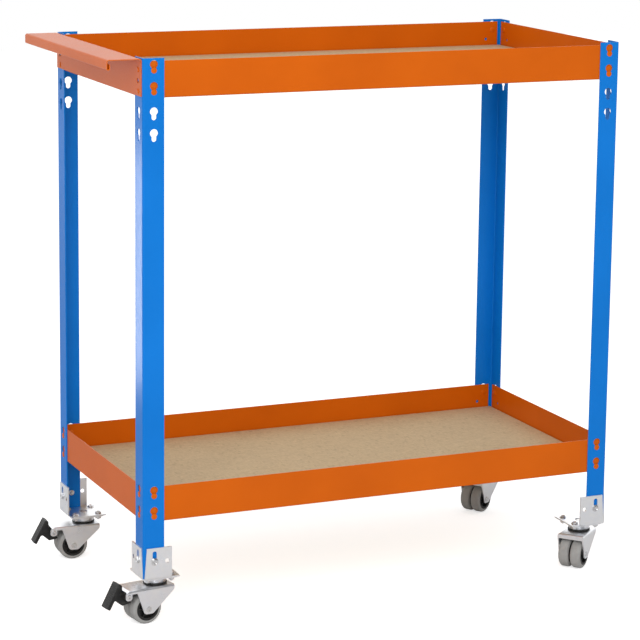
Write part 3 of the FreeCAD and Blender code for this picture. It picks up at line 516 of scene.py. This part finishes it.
# %% [markdown]
# ## Bolts and nuts
# The corner brackets are bolted to the posts and to the caster plates with zinc plated M6 hexagon bolts. Each
# has a pressed flange under the head, a dish in the top and a rolled thread that shows past the nut. A
# six-sided cylinder would have sharp, flat ends. A hexagon's radius changes with the angle, so one spun
# outline makes the flats, and cutting it with a cone makes the curved chamfers that every real nut has. The
# thread is a ridge whose height also follows the angle.

# %% Hexagons and threads
FLAT_HALF, CHAMFER_CIRCLE = 5.0, 4.7
CHAMFER_SLOPE = math.tan(math.radians(30))
THREAD_RADIUS, THREAD_DEPTH, THREAD_PITCH = 3.0, 0.5, 1.0
CREST_SHARPNESS, TIP_CHAMFER = 1.5, 1.0


def hexagon_radius(angle):
    from_flat = (angle + math.pi / 6) % (math.pi / 3) - math.pi / 6
    return FLAT_HALF / math.cos(from_flat)


def chamfer_drop(angle):
    """How far the cone has cut below the end face at the edge of the hexagon."""
    return (hexagon_radius(angle) - CHAMFER_CIRCLE) * CHAMFER_SLOPE


def thread_radius(angle, height, tip):
    """A ridge that climbs one pitch in a turn, under the chamfer of the bolt's tip."""
    phase = (height / THREAD_PITCH + angle / (2 * math.pi)) % 1.0
    ridge = min(1.0, CREST_SHARPNESS * (1.0 - abs(2.0 * phase - 1.0)))
    return min(THREAD_RADIUS - THREAD_DEPTH * (1.0 - ridge), THREAD_RADIUS - TIP_CHAMFER + height - tip)


print("hexagon across corners:", round(2 * hexagon_radius(math.pi / 6), 2), "mm")

# %% Outline of a bolt
HEAD_HEIGHT, FLANGE_HEIGHT, FLANGE_RADIUS = 3.5, 0.9, 6.9
DISH_DEPTH = 1.3
NUT_HEIGHT, TIP_LENGTH = 5.0, 2.0
THREAD_INTO_NUT, THREAD_RINGS = 0.4, 15


def bolt_outline(grip):
    """A flanged hexagon bolt whose head sits on Z = 0, threaded from just inside its nut to the tip."""
    tip = -(grip + NUT_HEIGHT + TIP_LENGTH)
    start = -(grip + NUT_HEIGHT - THREAD_INTO_NUT)
    heights = [start + (tip - start) * ring / THREAD_RINGS for ring in range(THREAD_RINGS + 1)]

    def at(angle):
        flat, shoulder = hexagon_radius(angle), HEAD_HEIGHT - chamfer_drop(angle)
        dish = [(0, HEAD_HEIGHT - DISH_DEPTH), (2.4, HEAD_HEIGHT - DISH_DEPTH), (3.5, HEAD_HEIGHT - 0.3),
                (3.9, HEAD_HEIGHT)]
        sides = [(CHAMFER_CIRCLE, HEAD_HEIGHT), (flat, shoulder), (flat, FLANGE_HEIGHT + 0.15)]
        flange = [(flat + 0.2, FLANGE_HEIGHT), (FLANGE_RADIUS - 0.3, FLANGE_HEIGHT - 0.2),
                  (FLANGE_RADIUS, FLANGE_HEIGHT - 0.45), (FLANGE_RADIUS, 0.1), (FLANGE_RADIUS - 0.1, 0)]
        thread = [(thread_radius(angle, height, tip), height) for height in heights]
        return dish + sides + flange + [(THREAD_RADIUS, 0)] + thread + [(0, tip)]

    return at


print("bolt outline:", len(bolt_outline(NUT_HEIGHT)(0)), "points")

# %% Outline of a nut
NUT_BORE = 3.1


def nut_outline(grip):
    """A hexagon nut against the far side of what a bolt holds."""
    near, far = -grip, -(grip + NUT_HEIGHT)

    def at(angle):
        flat, drop = hexagon_radius(angle), chamfer_drop(angle)
        return [(NUT_BORE, near), (CHAMFER_CIRCLE, near), (flat, near - drop), (flat, far + drop),
                (CHAMFER_CIRCLE, far), (NUT_BORE + 0.5, far), (NUT_BORE, far + 0.5)]

    return at


print("nut outline:", len(nut_outline(NUT_HEIGHT)(0)), "points")

# %% [markdown]
# ## Where the bolts sit
# Two bolts hold each bracket to its post, and four hold it to the caster's plate. They could be placed one by
# one, but the corners of the bench mirror each other, so the signs of a corner give all its places. Nobody
# lines up the flats of bolts with a spanner, so neighbours are twisted by different angles.

# %% Find the bolts' places
CORNERS = ("front_left", "front_right", "back_right", "back_left")
SIGNS = {corner: (1 if "right" in corner else -1, 1 if "back" in corner else -1) for corner in CORNERS}
POST_X, POST_Y, HOLE_LINE = 475.0, 240.0, 21.0
BRACKET_SHEET, BRACKET_BOLT_HEIGHT = 2.5, 119.5
BASE_TOP, KING_INSET, PLATE_BOLT_HALF = 88.5, 35.0, 23.0
FRONT_TWIST, END_TWIST, NEXT_TWIST = (math.radians(angle) for angle in (11, 37, 17))

bracket_places, caster_places = [], []
for end, side in SIGNS.values():
    on_front = (end * (POST_X - HOLE_LINE), side * (POST_Y + BRACKET_SHEET), BRACKET_BOLT_HEIGHT)
    on_end = (end * (POST_X + BRACKET_SHEET), side * (POST_Y - HOLE_LINE), BRACKET_BOLT_HEIGHT)
    bracket_places.append(facing(on_front, (0, side, 0), FRONT_TWIST))
    bracket_places.append(facing(on_end, (end, 0, 0), END_TWIST))
    for along in (-PLATE_BOLT_HALF, PLATE_BOLT_HALF):
        for across in (-PLATE_BOLT_HALF, PLATE_BOLT_HALF):
            spot = (end * (POST_X - KING_INSET) + along, side * (POST_Y - KING_INSET) + across, BASE_TOP)
            caster_places.append(facing(spot, (0, 0, 1), NEXT_TWIST * len(caster_places)))
print("bolts:", len(bracket_places), "in the brackets,", len(caster_places), "in the casters")

# %% Bolt the brackets to the posts and to the casters
POST_SHEET, CASTER_SHEET = 2.0, 2.5
HEX_SEGMENTS = 36

for name, places, grip in (("bracket", bracket_places, BRACKET_SHEET + POST_SHEET),
                           ("caster", caster_places, BRACKET_SHEET + CASTER_SHEET)):
    bolts, nuts = bmesh.new(), bmesh.new()
    for place in places:
        spin(bolts, bolt_outline(grip), place, HEX_SEGMENTS)
        spin(nuts, nut_outline(grip), place, HEX_SEGMENTS, closed=True)
    add_piece(name + "_hexagon_bolts", bolts, "frame", "fastener_steel", [name + "_bolts"])
    add_piece(name + "_hexagon_nuts", nuts, "frame", "fastener_steel", [name + "_nuts"])

# %% [markdown]
# ## Beam studs
# Each beam end carries two riveted studs that drop into the keyholes of the post. They are coated with the
# beam. A plain disc would catch the light like a coin, so the head is a low dome with a rounded rim. The four
# studs at the left end of the upper tray are longer, because they also hold the push handle.

# %% Set the studs
TOP_STUDS, BOTTOM_STUDS = (1005.0, 967.0), (241.0, 203.0)
BEAM_SHEET, HANDLE_SHEET = 1.5, 1.5
STUD_TAIL, STUD_SHANK, STUD_HEAD = 5.25, 4.2, 5.3
STUD_SEGMENTS = 32


def stud_outline(grip):
    """A stud from its riveted tail, through the sheets it holds, to its domed head."""
    tail = [(0, -1.2), (STUD_TAIL - 0.7, -1.15), (STUD_TAIL - 0.15, -0.8), (STUD_TAIL, -0.4), (STUD_TAIL, 0)]
    shank = [(STUD_SHANK, 0), (STUD_SHANK, grip)]
    rim = [(STUD_HEAD, grip), (STUD_HEAD, grip + 0.35), (STUD_HEAD - 0.2, grip + 0.65)]
    dome = [(STUD_HEAD - 0.7, grip + 0.9), (STUD_HEAD - 1.8, grip + 1.08), (STUD_HEAD - 3.4, grip + 1.17),
            (0, grip + 1.2)]
    return tail + shank + rim + dome


beam_studs, handle_studs = bmesh.new(), bmesh.new()
grip = BEAM_SHEET + POST_SHEET
for end, side in SIGNS.values():
    for height in TOP_STUDS + BOTTOM_STUDS:
        on_front = facing((end * (POST_X - HOLE_LINE), side * (POST_Y - grip), height), (0, side, 0))
        turned(beam_studs, stud_outline(grip), on_front, STUD_SEGMENTS)
        on_end = facing((end * (POST_X - grip), side * (POST_Y - HOLE_LINE), height), (end, 0, 0))
        if end < 0 and height in TOP_STUDS:
            turned(handle_studs, stud_outline(grip + HANDLE_SHEET), on_end, STUD_SEGMENTS)
        else:
            turned(beam_studs, stud_outline(grip), on_end, STUD_SEGMENTS)
add_piece("beam_rivet_studs", beam_studs, "frame", "beam_orange", ["beam_studs"])
add_piece("handle_rivet_studs", handle_studs, "frame", "beam_orange", ["handle_studs"])

# %% [markdown]
# ## The casters' own directions
# The casters stand at different angles. Their pieces could be modelled straight and then turned by angles
# written here, but the CAD model already knows how each one stands. So the directions of a caster come from
# its joints: X is ahead, Y is along the axle, and its zero is on the floor below the king pin.

# %% Find places on a caster
joints = {joint["name"]: joint for joint in frame["joints"]}


def caster_place(corner):
    """The caster's own directions, below its king pin on the floor."""
    axle = Vector(joints["roll_1_" + corner]["axis"])
    king = Vector(joints["swivel_" + corner]["pos_m"])
    upward = Vector((0, 0, 1))
    place = Matrix((axle.cross(upward), axle, upward)).transposed().to_4x4()
    place.translation = (king.x, king.y, 0)
    return place


def on_caster(corner, back, aside, height):
    """A place on a caster, in millimetres behind, beside and above its zero."""
    return caster_place(corner) @ Matrix.Translation(Vector((-back, aside, height)) * MM)


def along_axle(corner, back, aside, height):
    """A place on a caster with its Z along the axle."""
    return on_caster(corner, back, aside, height) @ Matrix.Rotation(math.radians(-90), 4, "X")


for corner in CORNERS:
    front = caster_place(corner).col[0]
    print(corner, "caster looks to", round(math.degrees(math.atan2(front.y, front.x))), "degrees")

# %% [markdown]
# ## Wheels
# Each caster has twin wheels: black moulded cores with ribs behind the rim, and grey rubber tyres moulded
# over them. A tyre comes out of its mould with a shallow groove round each side wall and a fine parting line
# round the tread. They could be bumps in the rubber, but the edge of the tyre would stay smooth against the
# light, so both are points of the outline that is spun.

# %% Outline of a tyre
TYRE_RADIUS, TYRE_INSIDE, TYRE_HALF, SHOULDER = 29.0, 22.05, 10.5, 6.0
RIM_LIP = 0.5
SHOULDER_STEPS, GROOVE_STEPS = 18, (5, 6)
SIDE_GROOVE_DEPTH, PARTING_DEPTH = 0.45, 0.2


def half_tyre():
    """Points of radius and height from the rim along one side wall and over its shoulder to the middle."""
    points = [(TYRE_INSIDE, TYRE_HALF - RIM_LIP), (TYRE_INSIDE + 0.4, TYRE_HALF)]
    for step in range(SHOULDER_STEPS + 1):
        turn = math.radians(90) * step / SHOULDER_STEPS
        round_by = SHOULDER - (SIDE_GROOVE_DEPTH if step in GROOVE_STEPS else 0.0)
        points.append((TYRE_RADIUS - SHOULDER + round_by * math.sin(turn),
                       TYRE_HALF - SHOULDER + round_by * math.cos(turn)))
    return points + [(TYRE_RADIUS, 0.35), (TYRE_RADIUS - PARTING_DEPTH, 0.15)]


tyre_outline = half_tyre() + [(radius, -height) for radius, height in reversed(half_tyre())]
print("tyre outline:", len(tyre_outline), "points")

# %% [markdown]
# ## Ribs of the wheel cores
# Six ribs on each face of the core's web stiffen it between boss and rim. Each is narrower at its top, so
# that it leaves the mould. A box would lack that draft, so a section with chamfered top edges is drawn and
# pulled from the boss to the rim. It sinks a little into boss, rim and web, so that no gap can show.

# %% Make a rib
BOSS_RADIUS, RIM_RADIUS, WEB_HALF = 8.5, 18.0, 2.5
RIB_ROOT, RIB_EDGE, RIB_TOP, RIB_SINK = WEB_HALF - 0.2, 8.1, 8.6, 0.4
RIB_SECTION = [(-1.1, RIB_ROOT), (-0.8, RIB_EDGE), (-0.45, RIB_TOP), (0.45, RIB_TOP), (0.8, RIB_EDGE),
               (1.1, RIB_ROOT)]


def add_rib(shape, place, turn, face):
    """A drafted rib from the boss to the rim, on one face of the web."""
    spun = place @ Matrix.Rotation(turn, 4, "Z")
    ends = []
    for radius in (BOSS_RADIUS - RIB_SINK, RIM_RADIUS + RIB_SINK):
        points = [Vector((radius, wide, face * deep)) * MM for wide, deep in RIB_SECTION]
        ends.append([shape.verts.new(spun @ point) for point in points])
    inner, outer = ends
    for spot in range(len(RIB_SECTION)):
        after = (spot + 1) % len(RIB_SECTION)
        shape.faces.new([inner[spot], inner[after], outer[after], outer[spot]])
    shape.faces.new(inner)
    shape.faces.new(outer)


print("rib:", RIM_RADIUS - BOSS_RADIUS, "mm long,", round(RIB_TOP - WEB_HALF, 2), "mm deep")

# %% Fit the tyres and ribs
TRAIL, AXLE_HEIGHT, WHEEL_ASIDE = 26.0, 29.0, 12.0
TYRE_SEGMENTS, RIBS = 96, 6

for corner in CORNERS:
    for wheel, aside in (("1", -WHEEL_ASIDE), ("2", WHEEL_ASIDE)):
        tag = wheel + "_" + corner
        place = along_axle(corner, TRAIL, aside, AXLE_HEIGHT)
        tyre, ribs = bmesh.new(), bmesh.new()
        turned(tyre, tyre_outline, place, TYRE_SEGMENTS, closed=True)
        add_piece("moulded_tyre_" + tag, tyre, "wheel_" + tag, "tyre_grey", ["tyre_" + tag])
        for number in range(RIBS):
            for face in (-1, 1):
                add_rib(ribs, place, 2 * math.pi * number / RIBS, face)
        add_piece("hub_ribs_" + tag, ribs, "wheel_" + tag, "core_black")

# %% [markdown]
# ## Axles, pins and shade rings in the race gaps
# The axles and brake pins are riveted over at both ends, which leaves a low head with a rounded rim and the
# dimple of the riveting tool. Above the fork, a black ring fills the gap of the ball race. It is painted shade,
# standing in for the shadow in that gap. A cylinder with a bevel could stand for a rivet, but it has no dimple,
# so all of them are spun outlines.

# %% Outlines of rivets and of the shade rings
FORK_HALF = 26.5
SHADE_RING_FOOT, SHADE_RING_TOP, SHADE_RING_INSIDE, SHADE_RING_OUTSIDE = 68.6, 72.3, 19.9, 21.6


def rivet_outline(shank, head, height):
    """A pin across the fork, headed at both ends."""
    end = FORK_HALF + height
    dimple = [(0, end - 0.6), (1.3, end - 0.5), (2.1, end - 0.05), (2.6, end)]
    rim = [(head - 0.9, end), (head - 0.3, end - 0.25), (head, end - 0.7), (head, FORK_HALF)]
    half = dimple + rim + [(shank, FORK_HALF)]
    return half + [(radius, -along) for radius, along in reversed(half)]


# A black ring in the gap above the fork: painted shade for the shadow of that gap.
shade_ring_outline = [(SHADE_RING_INSIDE, SHADE_RING_FOOT), (SHADE_RING_OUTSIDE - 0.5, SHADE_RING_FOOT), (SHADE_RING_OUTSIDE, SHADE_RING_FOOT + 0.6),
                (SHADE_RING_OUTSIDE, SHADE_RING_TOP - 1.2), (SHADE_RING_OUTSIDE - 0.4, SHADE_RING_TOP - 0.4),
                (SHADE_RING_OUTSIDE - 1.0, SHADE_RING_TOP), (SHADE_RING_INSIDE, SHADE_RING_TOP)]
print("seal:", round(SHADE_RING_TOP - SHADE_RING_FOOT, 2), "mm high")

# %% Rivet the axles and pins, and set the shade rings in the race gaps
BRAKED = ("front_left", "back_left")
PIVOT_BACK, PIVOT_HEIGHT = 66.0, 58.0
RIVET_SEGMENTS, SHADE_RING_SEGMENTS = 40, 64
axle_outline = rivet_outline(shank=4.0, head=5.5, height=1.2)
pin_outline = rivet_outline(shank=3.0, head=5.0, height=1.5)

for corner in CORNERS:
    body = "caster_" + corner
    axle = bmesh.new()
    turned(axle, axle_outline, along_axle(corner, TRAIL, 0, AXLE_HEIGHT), RIVET_SEGMENTS)
    add_piece("riveted_axle_" + corner, axle, body, "fastener_steel", ["axle_" + corner])
    if corner in BRAKED:
        pin = bmesh.new()
        turned(pin, pin_outline, along_axle(corner, PIVOT_BACK, 0, PIVOT_HEIGHT), RIVET_SEGMENTS)
        add_piece("riveted_brake_pin_" + corner, pin, body, "fastener_steel", ["brake_pin_" + corner])
    # Painted shade: a black ring where the race gap lies in shadow.
    shade_ring = bmesh.new()
    turned(shade_ring, shade_ring_outline, caster_place(corner), SHADE_RING_SEGMENTS, closed=True)
    add_piece("race_gap_shade_ring_" + corner, shade_ring, body, "core_black")

# %% [markdown]
# ## Brake pedals
# A pedal is one black moulding: a barrel on the pin, a foot pad with cross grooves for grip, and a shoe that
# presses on both tyres. It could be a box with a bump map, but the grooves catch the light and the edges are
# round. So the side outline is drawn with rounded corners, and several copies of it are joined across the
# width: pulled in at the two sides for the round edges, and with the grooves sunk in between.

# %% Round the corners of an outline
ARC_STEPS = 4


def rounded_corner(before, corner, after, radius):
    """Points of an arc that rounds a corner between two straight sides."""
    to_before, to_after = (before - corner).normalized(), (after - corner).normalized()
    half = to_before.angle(to_after) / 2
    middle = corner + (to_before + to_after).normalized() * (radius / math.sin(half))
    start = corner + to_before * (radius / math.tan(half)) - middle
    end = corner + to_after * (radius / math.tan(half)) - middle
    arc = [start.lerp(end, step / ARC_STEPS) for step in range(ARC_STEPS + 1)]
    return [middle + point.normalized() * radius for point in arc]


def pulled_in(points, inset):
    """The same outline with every side moved inward."""
    moved = []
    for number, point in enumerate(points):
        before, after = points[number - 1], points[(number + 1) % len(points)]
        along = (after - point).normalized() + (point - before).normalized()
        along.normalize()
        moved.append(point + Vector((-along.y, along.x)) * inset)
    return moved


print("ready:", rounded_corner.__name__, pulled_in.__name__)

# %% Draw the pedal from the side
PEDAL_CORNERS = [
    # along, height and corner radius, from the pin; the pad's face runs from the first to the second
    (-13.0, 23.0, 1.6), (-37.0, -21.0, 1.6), (-30.86, -24.35, 1.6), (-20.84, -6.0, 3.0), (-6.0, -19.0, 1.6),
    (11.78, -16.17, 1.3), (6.25, -3.125, 2.0), (3.125, 5.75, 2.0), (-6.0, 5.75, 3.0), (-6.86, 19.65, 1.6),
]
GROOVES, FIRST_GROOVE, GROOVE_PITCH = 10, 6.0, 4.0
GROOVE_WIDTH, GROOVE_SLANT, GROOVE_DEPTH = 2.0, 0.35, 0.9
GROOVE_RUN = [(0.0, 0), (GROOVE_SLANT, 1), (GROOVE_WIDTH - GROOVE_SLANT, 1), (GROOVE_WIDTH, 0)]


def pedal_outline(groove):
    """The pedal from the side, with its pad's grooves sunk by a share of their depth."""
    spots = [Vector((along, height)) for along, height, radius in PEDAL_CORNERS]
    points = []
    for number, spot in enumerate(spots):
        after = spots[(number + 1) % len(spots)]
        points += rounded_corner(spots[number - 1], spot, after, PEDAL_CORNERS[number][2])
        if number == 0:
            down = (after - spot).normalized()
            into = Vector((-down.y, down.x)) * GROOVE_DEPTH * groove
            for count in range(GROOVES):
                start = FIRST_GROOVE + GROOVE_PITCH * count
                points += [spot + down * (start + run) + into * sunk for run, sunk in GROOVE_RUN]
    return points


print("pedal outline:", len(pedal_outline(1)), "points")

# %% Mould the pedals
SIDE_SECTIONS = [
    # aside from the middle, how far the outline is pulled in, and the share of the grooves' depth
    (13.0, 1.2, 0), (12.8, 0.75, 0), (12.2, 0.4, 0), (11.0, 0.2, 0), (10.5, 0.16, 1), (5.0, 0, 1),
]
PEDAL_SECTIONS = [(-aside, inset, groove) for aside, inset, groove in SIDE_SECTIONS] + SIDE_SECTIONS[::-1]
BARREL_OUTLINE = [(3.05, -23.5), (5.7, -23.5), (6.1, -23.3), (6.25, -22.9), (6.25, 22.9), (6.1, 23.3),
                  (5.7, 23.5), (3.05, 23.5)]
BARREL_SEGMENTS = 40

for corner in BRAKED:
    pedal = bmesh.new()
    pivot = on_caster(corner, PIVOT_BACK, 0, PIVOT_HEIGHT)
    rings = []
    for aside, inset, groove in PEDAL_SECTIONS:
        outline = pulled_in(pedal_outline(groove), inset)
        points = [Vector((point.x, aside, point.y)) * MM for point in outline]
        rings.append([pedal.verts.new(pivot @ point) for point in points])
    for here, there in zip(rings, rings[1:]):
        for spot in range(len(here)):
            after = (spot + 1) % len(here)
            pedal.faces.new([here[spot], here[after], there[after], there[spot]])
    pedal.faces.new(rings[0])
    pedal.faces.new(rings[-1])
    barrel = along_axle(corner, PIVOT_BACK, 0, PIVOT_HEIGHT)
    turned(pedal, BARREL_OUTLINE, barrel, BARREL_SEGMENTS, closed=True)
    add_piece("moulded_pedal_" + corner, pedal, "pedal_" + corner, "pedal_black", ["brake_pedal_" + corner])

# %% [markdown]
# ## Background and ambient light
# A product picture is taken in a white studio, with a dimmer room behind the camera. A photograph of such a
# room could light the scene, but a plain white world is enough. It is the ambient light, and where the camera
# looks at it, it is pure white. A gloss or a clear surface sees the white backdrop behind the bench and the
# dimmer room in front, which keeps the coats deep in colour and gives the zinc its contrast.

# %% Make the white world
AMBIENT, ROOM_GLOSS, BACKDROP_GLOSS = 0.68, 0.22, 1.45
ROOM_TO_BACKDROP = (-0.5, 0.6)


def ray_kinds(tree):
    """1 for rays from the camera, and 1 for rays from a gloss or a clear surface."""
    path = add_node(tree, "ShaderNodeLightPath").outputs
    mirrored = math_node(tree, "MAXIMUM", path["Is Glossy Ray"], path["Is Transmission Ray"])
    return path["Is Camera Ray"], mirrored


scene.view_settings.view_transform = "Standard"
world = bpy.data.worlds.new("studio")
world.use_nodes = True
scene.world = world
tree = world.node_tree
direct, mirrored = ray_kinds(tree)
direction = add_node(tree, "ShaderNodeTexCoord").outputs["Generated"]
backward = add_node(tree, "ShaderNodeSeparateXYZ", None, {"Vector": direction}).outputs["Y"]
mirror_light = remap(tree, backward, *ROOM_TO_BACKDROP, ROOM_GLOSS - AMBIENT, BACKDROP_GLOSS - AMBIENT)
extra = math_node(tree, "ADD", math_node(tree, "MULTIPLY", direct, 1.0 - AMBIENT),
                  math_node(tree, "MULTIPLY", mirrored, mirror_light))
fill_inputs(tree, tree.nodes["Background"],
            {"Color": rgba(1.0, 1.0, 1.0), "Strength": math_node(tree, "ADD", extra, AMBIENT)})
print("world:", world.name)

# %% [markdown]
# ## Floor
# The floor is a pale sheet far larger than the picture. It could simply glow white, but then it would take no
# shadow. So it is a diffuse surface that keeps the shadow, with some white added for the camera's rays, so
# that it melts into the background. For mirrored rays the white is added only far from the bench: close to
# it, a glowing floor would veil the low faces of the beams and posts.

# %% Lay the floor
FLOOR_HALF, FLOOR_TONE = 9.0, 0.86
FLOOR_LIFT, LIFT_DISTANCE = 0.62, (1.2, 5.0)

floor_paint, tree, shader = start_material("studio_floor")
tree.nodes.remove(shader)
matt = add_node(tree, "ShaderNodeBsdfDiffuse", None, {"Color": rgba(FLOOR_TONE, FLOOR_TONE, FLOOR_TONE)})
direct, mirrored = ray_kinds(tree)
away = add_node(tree, "ShaderNodeVectorMath", {"operation": "LENGTH"},
                {0: piece_place(tree)}).outputs["Value"]
far_off = math_node(tree, "MULTIPLY", mirrored, remap(tree, away, *LIFT_DISTANCE))
seen = math_node(tree, "MULTIPLY", math_node(tree, "MAXIMUM", direct, far_off), FLOOR_LIFT)
lift = add_node(tree, "ShaderNodeEmission", None, {"Strength": seen})
both = add_node(tree, "ShaderNodeAddShader", None, {0: matt.outputs[0], 1: lift.outputs[0]})
tree.links.new(both.outputs[0], tree.nodes["Material Output"].inputs["Surface"])

floor_mesh = bpy.data.meshes.new("studio_floor")
corners = [(-FLOOR_HALF, -FLOOR_HALF, 0), (FLOOR_HALF, -FLOOR_HALF, 0),
           (FLOOR_HALF, FLOOR_HALF, 0), (-FLOOR_HALF, FLOOR_HALF, 0)]
floor_mesh.from_pydata(corners, [], [(0, 1, 2, 3)])
floor_mesh.materials.append(floor_paint)
floor = bpy.data.objects.new("studio_floor", floor_mesh)
scene.collection.objects.link(floor)
print("floor:", 2 * FLOOR_HALF, "m square")

# %% [markdown]
# ## Lamps
# The key light is one large soft box at the front left, high enough to light both decks. In the photograph
# the near post's left flange also has a bright band, as from a strip light behind the left end. A brighter
# key light could not give it without bleaching the orange beams, so a small, tall lamp stands where that
# flange mirrors it to the camera. Its light spreads little, so it stays off the other posts.


# %% Hang the lamps
def soft_box(name, spot, aim, size, watts, spread_degrees=180):
    """A soft lamp of a given width and height, aimed at a point."""
    data = bpy.data.lights.new(name, "AREA")
    data.shape = "RECTANGLE"
    data.size, data.size_y = size
    data.energy = watts
    data.spread = math.radians(spread_degrees)
    lamp = bpy.data.objects.new(name, data)
    lamp.location = spot
    lamp.rotation_mode = "QUATERNION"
    lamp.rotation_quaternion = (Vector(aim) - Vector(spot)).to_track_quat("-Z", "Y")
    lamp.visible_camera = False
    scene.collection.objects.link(lamp)


soft_box("key_light", spot=(-1.4, -2.75, 2.4), aim=(0, 0, 0.55), size=(2.6, 2.6), watts=60.0)
soft_box("edge_light", spot=(-0.731, 0.5, 0.51), aim=(-0.475, -0.22, 0.67), size=(0.12, 0.48), watts=0.042,
         spread_degrees=24)
